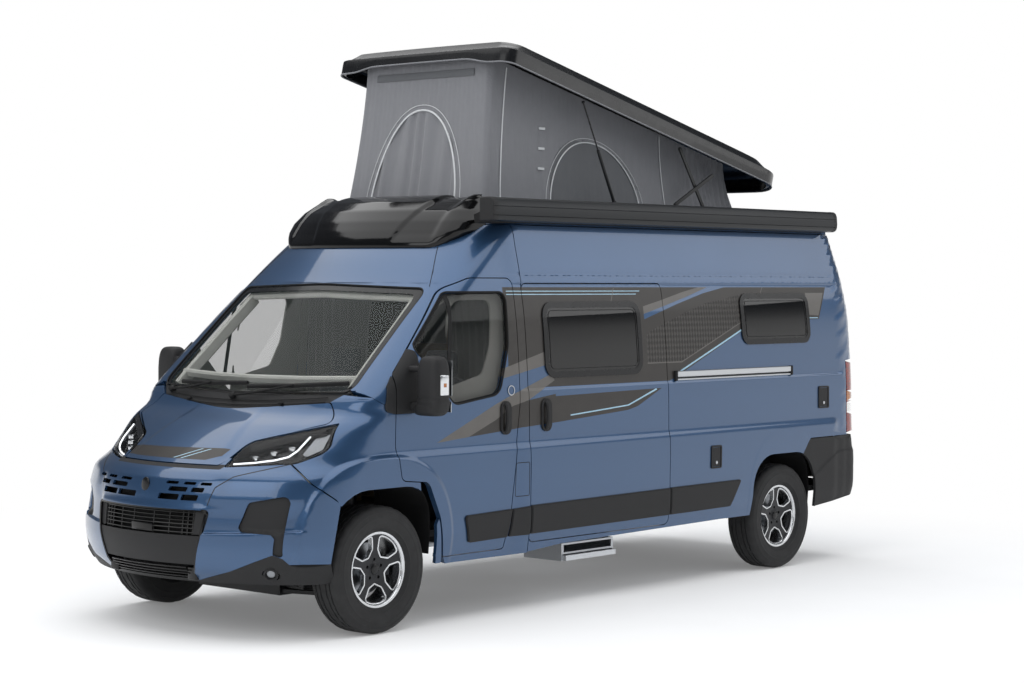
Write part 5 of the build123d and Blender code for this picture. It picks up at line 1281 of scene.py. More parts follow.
top_row = [float(SECTIONS[-1, k]) for k in range(1, 7)]
roof_wall = panel("roof_rail_skin", body_chart,
                  [np.array([(s, z) for z, run in ((2.383, 1), (2.508, -1))
                             for s in np.linspace(-tail_s(z), tail_s(z), 190)[::run]])],
                  PANEL_FINISHES, step=(0.06, 0.02), thick=0.020)
HATCH_HALF = 0.55
ROOF_TOP = 2.514
rim = plan_ring(top_row)
inner_rim = np.stack([np.clip(rim[:, 0], -1.90, 0.64), np.clip(rim[:, 1], -HATCH_HALF, HATCH_HALF)], axis=1)
roof_rings = []
for t, z in ((0.0, 2.500), (0.02, 2.5085), (0.06, 2.511), (0.5, 2.513), (0.93, ROOF_TOP),
             (1.0, ROOF_TOP), (1.0, 2.480)):
    flat = rim * (1 - t) + inner_rim * t
    roof_rings.append(np.column_stack([flat, np.full(len(flat), z)]))
roof_top = ring_skin("roof_top_skin", roof_rings, LACQUER)
settle(roof_wall, "root", "body_paint", "roof_panel")
settle(roof_top, "root", "body_paint")
tail_header = []
for y in np.linspace(-0.742, 0.742, 61):
    zs = (2.276, 2.300, 2.330, 2.360, 2.383)
    tail_header.append(bare_point(np.array([s_from_tail_y(y, z) for z in zs]), np.array(zs)))
inner_header = [row + (0.03, 0, 0) for row in tail_header]
header_rings = [np.concatenate([a, b[::-1]]) for a, b in zip(tail_header, inner_header)]
settle(ring_skin("tail_header", header_rings, LACQUER, capped=True), "root", "body_paint")

DEFLECTOR = [(2.236, 1.342, 2.20, 0.10, 0.675, 0.825, 0.020), (2.262, 1.341, 2.20, 0.12, 0.705, 0.825, 0.020),
             (2.300, 1.326, 2.15, 0.14, 0.745, 0.825, 0.020), (2.340, 1.304, 2.05, 0.15, 0.778, 0.825, 0.020),
             (2.400, 1.262, 1.95, 0.15, 0.785, 0.825, 0.020), (2.470, 1.190, 1.90, 0.15, 0.752, 0.825, 0.020),
             (2.530, 1.090, 1.90, 0.15, 0.712, 0.825, 0.020), (2.556, 1.010, 2.60, 0.10, 0.690, 0.825, 0.020),
             (2.570, 0.935, 4.00, 0.03, 0.676, 0.825, 0.020)]
rings = []
for z in np.concatenate([np.linspace(2.236, 2.53, 30), np.linspace(2.536, 2.570, 8)]):
    flat = plan_ring(table_at(DEFLECTOR, z), whole=False)
    flat = flat[flat[:, 0] > 0.83]
    share = np.linspace(0, 1, 181)
    run = np.concatenate([[0], np.cumsum(np.linalg.norm(np.diff(flat, axis=0), axis=1))])
    flat = np.stack([np.interp(share * run[-1], run, flat[:, k]) for k in (0, 1)], axis=1)
    y = np.abs(flat[:, 1])
    # a raised hood in the middle, a shallow hollow each side of it and an ear at each end
    crease = 0.33 + 0.10 * float(ease(z, 2.24, 2.56))
    hollow = ease(y, crease, crease + 0.022) * ease(y, 0.655, 0.60)
    deep = 0.014 * ease(z, 2.25, 2.33)
    back = flat - (hollow * deep)[:, None] * np.array([1.0, 0.0])
    height = np.full(len(back), z) - 0.016 * hollow * ease(z, 2.42, 2.56)
    rings.append(np.column_stack([back, height]))
last = rings[-1]
for t in (0.4, 0.8, 1.0):
    ring = last.copy()
    ring[:, 0] = ring[:, 0] * (1 - t) + 0.832 * t
    ring[:, 2] += 0.0015 * math.sin(t * math.pi)
    rings.append(ring)
# the inner face gives the moulding its thickness, and stays above the skin it sits on
lining_rings = []
for ring in rings[::-1]:
    inner = ring.copy()
    inner[:, 0] -= 0.012
    inner[:, 1] *= 0.985
    inner[:, 2] -= 0.008
    inner[:, 2] = np.maximum(inner[:, 2], 2.232)
    inner[:, 0] = np.maximum(inner[:, 0], 0.830)
    lining_rings.append(inner)
deflector = ring_skin("roof_deflector", [*rings, *lining_rings, rings[0]], GLOSS_BLACK, closed=False,
                      sharp=40)
settle(deflector, "root", "gloss_black", "wind_deflector")

for side, label in SIDES:
    ditch = along_front([(side * 0.806, 1.998), (side * 0.745, 2.110), (side * 0.668, 2.240)], 0.0004, 0.02)
    joint = sweep(ditch, bar(0.0045, 0.0016), (1, 0, 0.4))
    settle(joined(f"header_joint_{label}", [joint], SEAL), "root", "grey_plastic")

POP_ANGLE = math.radians(13.2)
POP_AXIS = (-2.920, 2.560)
POP_ROOF = [(2.560, 0.812, 20.0, 0.09, 0.770, -2.330, 0.26), (2.655, 0.812, 20.0, 0.09, 0.770, -2.335, 0.26),
            (2.720, 0.730, 20.0, 0.12, 0.700, -2.210, 0.28), (2.765, 0.560, 20.0, 0.18, 0.540, -1.960, 0.30)]


def raised(points):
    """Where points of the closed pop-top stand when it is open."""
    points = np.array(points, float)
    dx, dz = points[..., 0] - POP_AXIS[0], points[..., 2] - POP_AXIS[1]
    c, s = math.cos(POP_ANGLE), math.sin(POP_ANGLE)
    return np.stack([POP_AXIS[0] + dx * c - dz * s, points[..., 1], POP_AXIS[1] + dx * s + dz * c], axis=-1)


def pop_ring(z, inset=0.0):
    """Plan ring of the closed pop-top at a height, drawn in by a distance."""
    row = table_at(POP_ROOF, z)
    row = [row[0] - inset, row[1], max(row[2] - inset, 0.02), row[3] - inset, row[4] + inset,
           max(row[5] - inset, 0.02)]
    flat = plan_ring(row)
    return np.column_stack([flat, np.full(len(flat), z)])


outer_rows = [pop_ring(2.566, 0.006), pop_ring(2.560), pop_ring(2.563), pop_ring(2.600), pop_ring(2.636),
              pop_ring(2.650, 0.002), pop_ring(2.657, 0.010), pop_ring(2.667, 0.022), pop_ring(2.690, 0.012),
              pop_ring(2.710), pop_ring(2.728), pop_ring(2.745), pop_ring(2.756)]
crown_row = outer_rows[-1]
centre = crown_row.mean(axis=0)
for t, z in ((0.25, 2.761), (0.5, 2.764), (0.75, 2.765), (0.97, 2.765)):
    ring = crown_row.copy()
    ring[:, :2] = ring[:, :2] * (1 - t) + centre[:2] * t
    ring[:, 2] = z
    outer_rows.append(ring)
inner_rows = []
for row in outer_rows[1:][::-1]:
    inner = row.copy()
    inner[:, 0] = centre[0] + (row[:, 0] - centre[0]) * 0.985
    inner[:, 1] = row[:, 1] * 0.962
    inner[:, 2] = np.maximum(row[:, 2] - 0.024, 2.560)
    inner_rows.append(inner)


def arched(points):
    """Points of the shell, with its front edge cut away in a shallow arch."""
    points = points.copy()
    front = ease(points[:, 0], 0.70, 0.78) * ease(points[:, 2], 2.64, 2.60)
    points[:, 2] += 0.030 * front * ease(np.abs(points[:, 1]), 0.62, 0.40)
    return points


rows = [raised(arched(row)) for row in (outer_rows + inner_rows)]
shell = ring_skin("pop_top_shell", rows + [rows[0]], SHELL_BLACK, sharp=28)
settle(shell, "pop_roof", "gloss_black", "pop_roof_shell")
ridges = []
for y in (-0.46, -0.30, 0.30, 0.46):
    path = [(x, y, 2.7585 - 0.018 * ease(abs(y), 0.40, 0.50) - 0.10 * max(0.0, x - 0.30) ** 2
             - 0.08 * max(0.0, -1.70 - x) ** 2) for x in np.linspace(0.42, -1.90, 40)]
    ridges.append(sweep(raised(path), [(-0.030, -0.004), (0.030, -0.004), (0.016, 0.006), (-0.016, 0.006)]))
settle(joined("pop_top_ridges", ridges, SHELL_BLACK), "pop_roof", "gloss_black")
seal_ring = raised(arched(pop_ring(2.560)))
foam_seal = sweep(seal_ring + (0, 0, -0.002), circle(0.0048, 8), closed=True)
settle(joined("pop_top_seal", [foam_seal], TENT_CLOTH), "pop_roof", "grey_plastic")

# ---------------------------------------------------------------- tent
TENT_HALF = 0.620
TENT_CORNER = 0.05
CLOTH_IN = 0.004     # the cloth hangs this far inside its frame
TENT_TAPER = 0.09    # the walls lean in by this share at the pop-top
FRONT_FOOT, FRONT_HEAD = (0.772, ROOF_TOP), (0.636, 3.455)
REAR_FOOT, REAR_HEAD = (-1.976, ROOF_TOP), (-1.896, 2.868)


def tent_loop(count):
    """Corner-rounded loop, starting at the middle of the front: (share along x, y) and arc length."""
    length, half, r = FRONT_FOOT[0] - REAR_FOOT[0], TENT_HALF, TENT_CORNER
    stops = [half - r, r * math.pi / 2, length - 2 * r, r * math.pi / 2, 2 * half - 2 * r, r * math.pi / 2,
             length - 2 * r, r * math.pi / 2, half - r]
    total = sum(stops)
    result = []
    for k in range(count):
        s = total * k / count
        x, y, heading = length, 0.0, math.pi / 2
        for i, run in enumerate(stops):
            part = min(s, run)
            if i % 2 == 0:
                x, y = x + part * math.cos(heading), y + part * math.sin(heading)
            else:
                x += r * (math.sin(heading + part / r) - math.sin(heading))
                y -= r * (math.cos(heading + part / r) - math.cos(heading))
                heading += part / r
            s -= run
            if s <= 0:
                break
        result.append((x / length, y))
    return np.array(result), total


def at_front(share):
    """1 on the front face of the cloth, 0 round its corners."""
    return ease(share, 0.975, 0.992)


def at_rear(share):
    """1 on the rear face of the cloth, 0 round its corners."""
    return ease(share, 0.025, 0.008)


def tent_point(share, y, t, inward=0.0):
    """Point of the cloth: share 0 at the rear to 1 at the front, t from the roof skin up to the pop-top."""
    foot_x = REAR_FOOT[0] + (FRONT_FOOT[0] - REAR_FOOT[0]) * share
    head_x = REAR_HEAD[0] + (FRONT_HEAD[0] - REAR_HEAD[0]) * share
    head_z = REAR_HEAD[1] + (FRONT_HEAD[1] - REAR_HEAD[1]) * share
    x = foot_x + (head_x - foot_x) * t
    z = FRONT_FOOT[1] + (head_z - FRONT_FOOT[1]) * t
    # which way is in: along x on the ends, along y on the sides
    end = at_front(share) - at_rear(share)
    flank = ease(np.abs(y), TENT_HALF - 0.06, TENT_HALF - 0.01) * np.sign(y)
    return np.stack([x - inward * end, y * (1 - TENT_TAPER * t) - inward * flank, z], axis=-1)


ARCH_FRONT = (0.0, 0.375, 0.02, 0.66)      # middle y, half width, foot t, head t
ARCH_SIDE = (-0.36, 0.465, 0.05, 0.62)     # middle x, half width, foot t, head t


def arch_inside(u, t, arch):
    """Positive inside an arched window, 0 on its piping."""
    middle, half, foot, head = arch
    wide = np.abs((u - middle) / half)
    tall = (t - foot) / (head - foot)
    return 1 - (wide ** 2.6 + np.clip(tall, 0, None) ** 2.2) ** (1 / 2.4)


def tent_sag(t):
    """How far the cloth hangs in between the roof skin and the pop-top."""
    return 0.016 * math.sin(math.pi * min(max(t, 0), 1)) ** 0.8


COLUMNS, ROWS = 560, 44
loop, tent_girth = tent_loop(COLUMNS)
grid = []
for t in np.linspace(0, 1, ROWS):
    share, y = loop[:, 0], loop[:, 1]
    x = tent_point(share, y, t)[:, 0]
    on_front_face = at_front(share)
    on_flank = (1 - on_front_face) * (1 - at_rear(share))
    along_cloth = np.where(on_front_face > 0.5, y, x)
    sag = tent_sag(t)
    wave = (0.0016 * np.sin(along_cloth * 61 + 2.1 * np.sin(along_cloth * 9)) * (0.35 + 0.65 * (1 - t))
            + 0.0012 * np.sin(along_cloth * 143 + 3 * t))
    puckers = np.sin(along_cloth * 118 + np.sin(along_cloth * 23) * 1.4)
    gather = 0.008 * puckers * ease(x, -1.15, -1.75) * on_flank
    front_win = np.clip(arch_inside(y, t, ARCH_FRONT), 0, 1) * on_front_face
    curtain = ease(front_win, 0.0, 0.06) * on_front_face
    pleats = np.sin(y * 52 + 1.6 * np.sin(y * 17 + t))
    drapes = 0.0115 * pleats * curtain * (0.55 + 0.45 * np.abs(np.sin(y * 29 + 1)))
    side_win = np.clip(arch_inside(x, t, ARCH_SIDE), 0, 1) * on_flank
    net = ease(side_win, 0.0, 0.04) * on_flank
    inward = sag + wave * (1 - curtain) * (1 - 0.7 * net) + gather + drapes + 0.004 * curtain + 0.003 * net
    inward = inward * (1 - 0.6 * ease(t, 0.06, 0.0)) + CLOTH_IN
    grid.append(tent_point(share, y, t, inward))
grid = np.array(grid)
shift = np.array([tent_point(loop[:, 0], loop[:, 1], t, 0.003) - tent_point(loop[:, 0], loop[:, 1], t)
                  for t in np.linspace(0, 1, ROWS)])
inside_grid = grid + shift
tent_verts = np.concatenate([grid.reshape(-1, 3), inside_grid.reshape(-1, 3)])
tent_faces, tent_slots = [], []
offset = COLUMNS * ROWS
mid_share = (loop[:, 0] + np.roll(loop[:, 0], -1)) / 2
for i in range(ROWS - 1):
    t = (i + 0.5) / (ROWS - 1)
    for k in range(COLUMNS):
        m = (k + 1) % COLUMNS
        quad = (i * COLUMNS + k, i * COLUMNS + m, (i + 1) * COLUMNS + m, (i + 1) * COLUMNS + k)
        tent_faces += [quad, tuple(v + offset for v in quad[::-1])]
        netting = 0.03 < mid_share[k] < 0.97 and arch_inside(grid[i, k, 0], t, ARCH_SIDE) > 0
        tent_slots += [1 if netting else 0] * 2
for i, flip in ((0, 1), (ROWS - 1, -1)):
    for k in range(COLUMNS):
        m = (k + 1) % COLUMNS
        quad = (i * COLUMNS + k, offset + i * COLUMNS + k, offset + i * COLUMNS + m, i * COLUMNS + m)
        tent_faces.append(quad[::flip])
        tent_slots.append(0)
tent = build("pop_top_tent", tent_verts, tent_faces, [TENT_CLOTH, TENT_NET], tent_slots, sharp=60)
settle(tent, "root", "tent_fabric", "tent_canvas")

tent_trim = []


def on_cloth_front(y, t, out):
    """Point on the front face of the cloth."""
    return tent_point(np.array([1.0]), np.array([y]), t, tent_sag(t) + CLOTH_IN - out)[0]


def on_cloth_side(x, t, side, out):
    """Point on one side of the cloth."""
    share = (x - REAR_FOOT[0]) / (FRONT_FOOT[0] - REAR_FOOT[0])
    return tent_point(np.array([share]), np.array([side * TENT_HALF]), t, tent_sag(t) + CLOTH_IN - out)[0]


def arch_line(arch, grow=0.0):
    """Points (u, t) along an arched window's piping."""
    middle, half, foot, head = arch
    line = []
    for a in np.linspace(0, math.pi, 49):
        c, s = math.cos(a), math.sin(a)
        u = middle + (half + grow) * math.copysign(abs(c) ** (2.4 / 2.6), c)
        line.append((u, foot + (head - foot + grow * 0.8) * abs(s) ** (2.4 / 2.2)))
    return line


for grow, width in ((0.0, 0.0055), (0.045, 0.0020)):
    path = [on_cloth_front(u, t, 0.003) for u, t in arch_line(ARCH_FRONT, grow)]
    tent_trim.append(sweep(path, bar(width * 2.2, width * 1.6), (1, 0, 0.1)))
    for side in (1, -1):
        path = [on_cloth_side(u, t, side, 0.003) for u, t in arch_line(ARCH_SIDE, grow)]
        tent_trim.append(sweep(path, bar(width * 1.6, width * 1.4), (0, side, 0)))
for side in (1, -1):
    seam = [on_cloth_side(0.60, t, side, 0.004) for t in np.linspace(0.02, 0.97, 30)]
    tent_trim.append(sweep(seam, bar(0.010, 0.003), (0, side, 0)))
    seam = [on_cloth_side(-1.12, t, side, 0.004) for t in np.linspace(0.02, 0.97, 20)]
    tent_trim.append(sweep(seam, bar(0.008, 0.003), (0, side, 0)))
    for t in (0.30, 0.46, 0.62):
        tab = on_cloth_side(0.20, t, side, 0.006)
        tent_trim.append(block(tab - (0.030, 0.003, 0.008), tab + (0.030, 0.003, 0.008), 0.002, 2))
trim = joined("tent_piping", tent_trim, PIPING, 50)
settle(trim, "root", "tent_fabric")
slot_path = [on_cloth_front(y, 0.90, 0.004) for y in np.linspace(-0.47, 0.47, 30)]
vent = joined("tent_vent_strip", [sweep(slot_path, bar(0.046, 0.004), (1, 0, 0.1))], TENT_NET, 50)
settle(vent, "root", "tent_fabric")
for soft in (tent, trim, vent):
    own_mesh(soft)

# ---------------------------------------------------------------- awning
AWNING = [(0.868, 2.402), (0.872, 2.399), (0.958, 2.399), (0.974, 2.405), (0.984, 2.418), (0.988, 2.432),
          (0.9855, 2.434), (0.9885, 2.437), (0.990, 2.455), (0.988, 2.488), (0.9855, 2.490), (0.988, 2.493),
          (0.984, 2.515), (0.976, 2.533), (0.962, 2.543), (0.944, 2.545), (0.872, 2.545), (0.868, 2.541)]
AWNING_ENDS = (1.052, -2.682)
middle_y = (0.868 + 0.990) / 2
middle_z = 2.472
case_verts = []
for x in AWNING_ENDS:
    case_verts += [(x, y, z) for y, z in AWNING]
n = len(AWNING)
case_faces = [(n + k, n + (k + 1) % n, (k + 1) % n, k) for k in range(n)]
case_faces += [tuple(range(n)), tuple(range(2 * n - 1, n - 1, -1))]
settle(joined("awning_case", [(case_verts, case_faces)], AWNING_COAT, 22), "root", "awning_paint",
       "awning_cassette")
end_parts = []
for x, way in zip(AWNING_ENDS, (1, -1)):
    rings_of = []
    for dx, scale in ((-0.030, 1.012), (0.006, 1.012), (0.014, 0.985), (0.018, 0.93)):
        across = min(scale, 1.0)
        rings_of.append([(x + way * dx, middle_y + (y - middle_y) * across, middle_z + (z - middle_z) * scale)
                         for y, z in AWNING])
    verts = np.concatenate(rings_of)
    first, last = end_caps(4, n)
    faces = [first, *ring_faces(4, n), last]
    if way < 0:
        faces = [f[::-1] for f in faces]
    end_parts.append((verts, faces))
settle(joined("awning_ends", end_parts, TRIM_PLASTIC, 30), "root", "grey_plastic")
adaptor_profile = [(0.808, 2.386), (0.862, 2.392), (0.870, 2.400), (0.870, 2.455), (0.862, 2.458),
                   (0.800, 2.440)]
adaptor = []
for x in (1.045, -2.675):
    adaptor += [(x, y, z) for y, z in adaptor_profile]
count = len(adaptor_profile)
adaptor_faces = [(k, count + k, count + (k + 1) % count, (k + 1) % count) for k in range(count)]
adaptor_faces += [tuple(range(count)), tuple(range(2 * count - 1, count - 1, -1))]
settle(joined("awning_adaptor", [(adaptor, adaptor_faces)], SEAL, 30), "root", "grey_plastic")


# ---------------------------------------------------------------- tail: doors, glass, lamps, bumper
HINGE_LEVELS = (0.66, 1.27, 2.08)


def rear_crease(x):
    """Height of the crease round the rear bumper; it rises towards the tail."""
    return 0.60 + 0.20 * ease(x, -2.20, -2.75)


REAR_DOOR = [(0.003, 0.563, 0.02), (0.803, 0.563, 0.06), (0.803, 1.95, 0.6), (0.743, 2.267, 0.08),
             (0.003, 2.267, 0.02)]


def tail_chart(uv, depth):
    """Rear door: a bay for the plate, a let-in band below it and a let-in field round the glass."""
    point = skin_point(uv[:, 0], uv[:, 1], 0.0)
    y, z = np.abs(point[:, 1]), point[:, 2]
    bay = ease(y, 0.285, 0.255) * ease(z, 0.93, 0.96) * ease(z, 1.17, 1.14)
    swage = ease(y, 0.07, 0.10) * ease(y, 0.74, 0.70) * (ease(z, 0.62, 0.65) - ease(z, 0.88, 0.91))
    field = ease(y, 0.05, 0.08) * ease(y, 0.74, 0.71) * (ease(z, 1.41, 1.44) - ease(z, 2.05, 2.08))
    return skin_point(uv[:, 0], uv[:, 1], depth - 0.018 * bay - 0.006 * swage - 0.008 * field)


def rear_bumper_chart(uv, depth):
    """Rear bumper cover: it stands out above its crease and is let in below."""
    point = skin_point(uv[:, 0], uv[:, 1], 0.0)
    crease = rear_crease(point[:, 0])
    fold = ease(point[:, 2], crease + 0.012, crease - 0.012)
    return skin_point(uv[:, 0], uv[:, 1], depth - 0.008 + 0.007 * fold)


def lamp_patch(side, z_from, z_to):
    """Outline of a part of the tail lamp, round the rear corner of the body."""
    zs = np.linspace(z_from, z_to, 10)
    front = side_run(side, [(-2.793, z) for z in zs])
    return np.array(front + [(s_from_tail_y(side * 0.816, z), z) for z in zs[::-1]])


for side, label in SIDES:
    made = panel(f"rear_door_{label}_skin", tail_chart, [on_tail(REAR_DOOR, side)], PANEL_FINISHES,
                 [on_tail(GLASS_BACK, side)], [], [], step=(0.02, 0.02))
    settle(made, f"rear_door_{label}", "body_paint", f"rear_door_{label}")
    pane = panel(f"rear_pane_{label}", at_depth(-0.010), [on_tail(grown(GLASS_BACK, -0.003), side)],
                 [SEAL, DARK_GLASS], [], [(on_tail(grown(GLASS_BACK, -0.022), side), 1)], step=(0.05, 0.05),
                 thick=0.006, lining="same")
    settle(pane, f"rear_door_{label}", "glass", f"rear_door_glass_{label}")
    pane_edge = on_tail(grown(GLASS_BACK, -0.001), side)
    fittings = [seal_along(pane_edge, -0.006, bar(0.012, 0.010), (1, 0, 0))]
    for z in HINGE_LEVELS:
        x = float(bare_point(s_from_tail_y(side * 0.80, z), z)[0])
        fittings.append(block((x - 0.012, min(side * 0.70, side * 0.79), z - 0.030),
                              (x + 0.004, max(side * 0.70, side * 0.79), z + 0.030), 0.005))
    if side > 0:
        x = float(bare_point(s_from_tail_y(0.20, 1.30), 1.30)[0])
        fittings.append(block((x - 0.022, 0.030, 1.225), (x + 0.004, 0.300, 1.300), 0.010))
        fittings.append(block((x - 0.034, 0.055, 1.240), (x - 0.016, 0.275, 1.268), 0.007))
    settle(joined(f"rear_door_fittings_{label}", fittings, TRIM_PLASTIC, 40), f"rear_door_{label}",
           "grey_plastic")
    bay_x = float(bare_point(s_from_tail_y(0.10, 1.05), 1.05)[0])
    backing = block((bay_x + 0.008, min(side * 0.006, side * 0.250), 0.985),
                    (bay_x + 0.016, max(side * 0.006, side * 0.250), 1.115), 0.003)
    settle(joined(f"bare_rear_plate_{label}", [backing], TRIM_PLASTIC), f"rear_door_{label}", "grey_plastic")

    corner = side_run(side, [(-2.203, 0.385), (-2.203, 0.60), (-2.203, 0.797), (-2.25, 0.852),
                             (-2.302, 0.907), (-2.60, 0.907)])
    corner += [(s_from_tail_y(side * y, 0.907), 0.907) for y in (0.98, 0.93, 0.87, 0.818)]
    corner += [(s_from_tail_y(side * 0.818, z), z) for z in (0.80, 0.68, 0.556)]
    corner += [(s_from_tail_y(side * y, 0.550), 0.550) for y in np.linspace(0.79, 0.0005, 30)]
    corner += [(s_from_tail_y(side * y, 0.462), 0.462) for y in np.linspace(0.0005, 0.86, 30)]
    corner += side_run(side, [(-2.86, 0.458), (-2.60, 0.436), (-2.40, 0.418)])

    crease_xs = np.linspace(-2.21, -2.88, 24)
    crease_zs = rear_crease(crease_xs)
    creases = [np.stack([s_from_x(crease_xs, crease_zs + d, side), crease_zs + d], axis=1)
               for d in (-0.012, 0.0, 0.012)]
    made = panel(f"rear_bumper_{label}", rear_bumper_chart, [np.array(corner)], [TRIM_PLASTIC],
                 [on_side(REAR_ARCH, side)], [], creases, step=(0.035, 0.03), thick=0.020)
    settle(made, "root", "grey_plastic", *if_left(side, "rear_bumper"))

    lamp_areas = [(lamp_patch(side, 1.075, 1.150), 1), (lamp_patch(side, 1.160, 1.235), 2)]
    made = panel(f"tail_lamp_{label}", at_depth(0.002), [lamp_patch(side, 0.929, 1.451)],
                 [RED_LENS, CLEAR_LENS, AMBER_LENS], [], lamp_areas, step=(0.02, 0.02), thick=0.010,
                 lining="same")
    settle(made, "root", "lamp_lens", *if_left(side, "tail_lamps"))
    made = panel(f"tail_lamp_housing_{label}", at_depth(-0.030), [lamp_patch(side, 0.927, 1.453)], [CHROME],
                 step=(0.03, 0.03), thick=0.006)
    settle(made, "root", "lamp_lens")
brake_x = float(bare_point(s_from_tail_y(0.0, 2.325), 2.325)[0])
brake_light = block((brake_x - 0.014, -0.16, 2.308), (brake_x + 0.006, 0.16, 2.340), 0.006)
settle(joined("high_brake_light", [brake_light], RED_LENS), "root", "lamp_lens")

# ---------------------------------------------------------------- side fittings
def flat_fitting(name, outline, side, out, thick, material, body="root", holes=(), nodes=()):
    """A plate of grey plastic that stands off the side of the van."""
    made = panel(name, at_depth(out), [on_side(outline, side)], [material], [on_side(h, side) for h in holes],
                 step=(0.05, 0.03), thick=thick)
    settle(made, body, "grey_plastic", *nodes)


# How far a handle's grip stands out, by the height above its middle.
HANDLE_BOW = ((-0.086, 0.004), (-0.060, 0.018), (0.0, 0.023), (0.060, 0.018), (0.086, 0.004))
STRIPS = {
    "cab": (CAB_STRIP, "cab_door"),
    "post": (drawn((780, 477, 4), (968, 477, 4), (937, 641, 4), (780, 648, 4)), "root"),
    "door": (drawn((-630, 490, 4), (772, 480, 4), (772, 652, 4), (-630, 664, 4)), "root"),
    "rear": (drawn((-1315, 497, 12), (-638, 490, 4), (-638, 666, 4), (-1438, 670, 12)), "root"),
}
for side, label in SIDES:
    for name, (shape, body) in STRIPS.items():
        body = f"cab_door_{label}" if body == "cab_door" else body
        nodes = ["side_trim"] if (name, side) == ("door", 1) else []
        flat_fitting(f"rub_strip_{name}_{label}", shape, side, 0.0095, 0.014, TRIM_PLASTIC, body, nodes=nodes)
        flat_fitting(f"rub_strip_face_{name}_{label}", grown(shape, -0.007), side, 0.0125, 0.006,
                     TRIM_PLASTIC, body)
    handles = [("cab", 0.990, 1.200, f"cab_door_{label}")]
    if side > 0:
        handles.append(("sliding", 0.618, 1.203, "root"))
    for name, x, z, body in handles:
        w, h = 0.048, 0.102
        oval = [(x - w, z - h, 0.045), (x + w, z - h, 0.045), (x + w, z + h, 0.045), (x - w, z + h, 0.045)]
        pocket = grown(oval, -0.016)
        flat_fitting(f"handle_rim_{name}_{label}", oval, side, 0.009, 0.012, TRIM_PLASTIC, body, [pocket])
        flat_fitting(f"handle_pocket_{name}_{label}", grown(pocket, 0.002), side, -0.018, 0.004, SEAL, body)
        stops = [side_spot(x, z + rise, side, out) for rise, out in HANDLE_BOW]
        line = tube(stops, 0.001, 3)[0].reshape(-1, 3, 3).mean(axis=1)
        grip = sweep(line, bar(0.024, 0.034, 0.3), (1, 0, 0))
        settle(joined(f"handle_grip_{name}_{label}", [grip], TRIM_PLASTIC, 40), body, "grey_plastic")
    ring_at = side_spot(0.935, 1.365, side, 0.002)
    ring = turned_to(lathed([(0.026, 0.0), (0.031, 0.0), (0.031, 0.003), (0.026, 0.003)], (0, 0, 0), 40),
                     ring_at, (0, side, 0.05))
    settle(joined(f"bare_ring_{label}", [ring], ANODISED), f"cab_door_{label}", "gloss_black")

    rail_parts = [sweep(along_side([(-2.060, z), (-0.733, z)], side, out), section, (0, 0, 1))
                  for z, out, section in ((1.416, 0.007, bar(0.016, 0.040)),
                                          (1.380, 0.005, bar(0.012, 0.012)))]
    if side > 0:
        settle(joined("slide_rail_left", rail_parts, ANODISED, 30), "root", "step_alloy")
        channel = [sweep(along_side([(-2.070, 1.395), (-0.723, 1.395)], side, 0.001), bar(0.010, 0.026))]
        for x in (-2.072, -0.720):
            centre = along_side([(x, 1.405), (x + 0.001, 1.405)], side, 0.006)[0]
            channel.append(block(centre - (0.013, 0.012, 0.034), centre + (0.013, 0.012, 0.034), 0.006))
        settle(joined("slide_rail_ends", channel, SEAL), "root", "grey_plastic")
        flap = [(0.790, 0.715, 0.012), (0.915, 0.715, 0.012), (0.908, 0.920, 0.012), (0.790, 0.920, 0.012)]
        flap_seam = seal_along(on_side(flap, side, step=0.01), 0.0, bar(0.004, 0.002), (0, 1, 0))
        settle(joined("fuel_flap_seam", [flap_seam], SEAL), "root", "grey_plastic")
    for name, box in (("mains", (-2.540, -2.410, 1.120, 1.280)), ("water", (-1.203, -1.087, 0.764, 0.920))):
        x0, x1, z0, z1 = box
        frame_shape = [(x0, z0, 0.014), (x1, z0, 0.014), (x1, z1, 0.014), (x0, z1, 0.014)]
        flat_fitting(f"hatch_rim_{name}_{label}", frame_shape, side, 0.008, 0.014, TRIM_PLASTIC,
                     holes=[grown(frame_shape, -0.011)])
        flat_fitting(f"hatch_lid_{name}_{label}", grown(frame_shape, -0.014), side, 0.005, 0.010,
                     TRIM_PLASTIC)
        spot = side_spot((x0 + x1) / 2, z0 + 0.040, side, 0.004)
        lock = button(spot, (0, side, 0), 0.011, 0.005)
        settle(joined(f"hatch_lock_{name}_{label}", [lock], ANODISED), "root", "step_alloy")

# ---------------------------------------------------------------- mirrors
def housing(centre, half, power=3.4, rows=40, count=56, shape=None):
    """(verts, faces) of a rounded closed housing; shape scales a row by how high it is."""
    verts = []
    for i in range(rows):
        t = -math.cos(math.pi * (i + 0.5) / rows)
        size = (1 - abs(t) ** 4.2) ** (1 / 4.2) * (shape(t) if shape else 1.0)
        for k in range(count):
            a = 2 * math.pi * k / count
            c, s = math.cos(a), math.sin(a)
            verts.append((centre[0] + half[0] * size * math.copysign(abs(c) ** (2 / power), c),
                          centre[1] + half[1] * size * math.copysign(abs(s) ** (2 / power), s),
                          centre[2] + half[2] * t))
    return verts, ring_faces(rows, count) + end_caps(rows, count)


def mirror_shape(t):
    """How wide the mirror housing is, from -1 at its foot to 1 at its head."""
    groove = math.exp(-((t + 0.42) / 0.022) ** 2)
    return 0.965 - 0.045 * groove + (0.035 if t < -0.42 else 0.0) - 0.07 * max(0.0, t - 0.2)


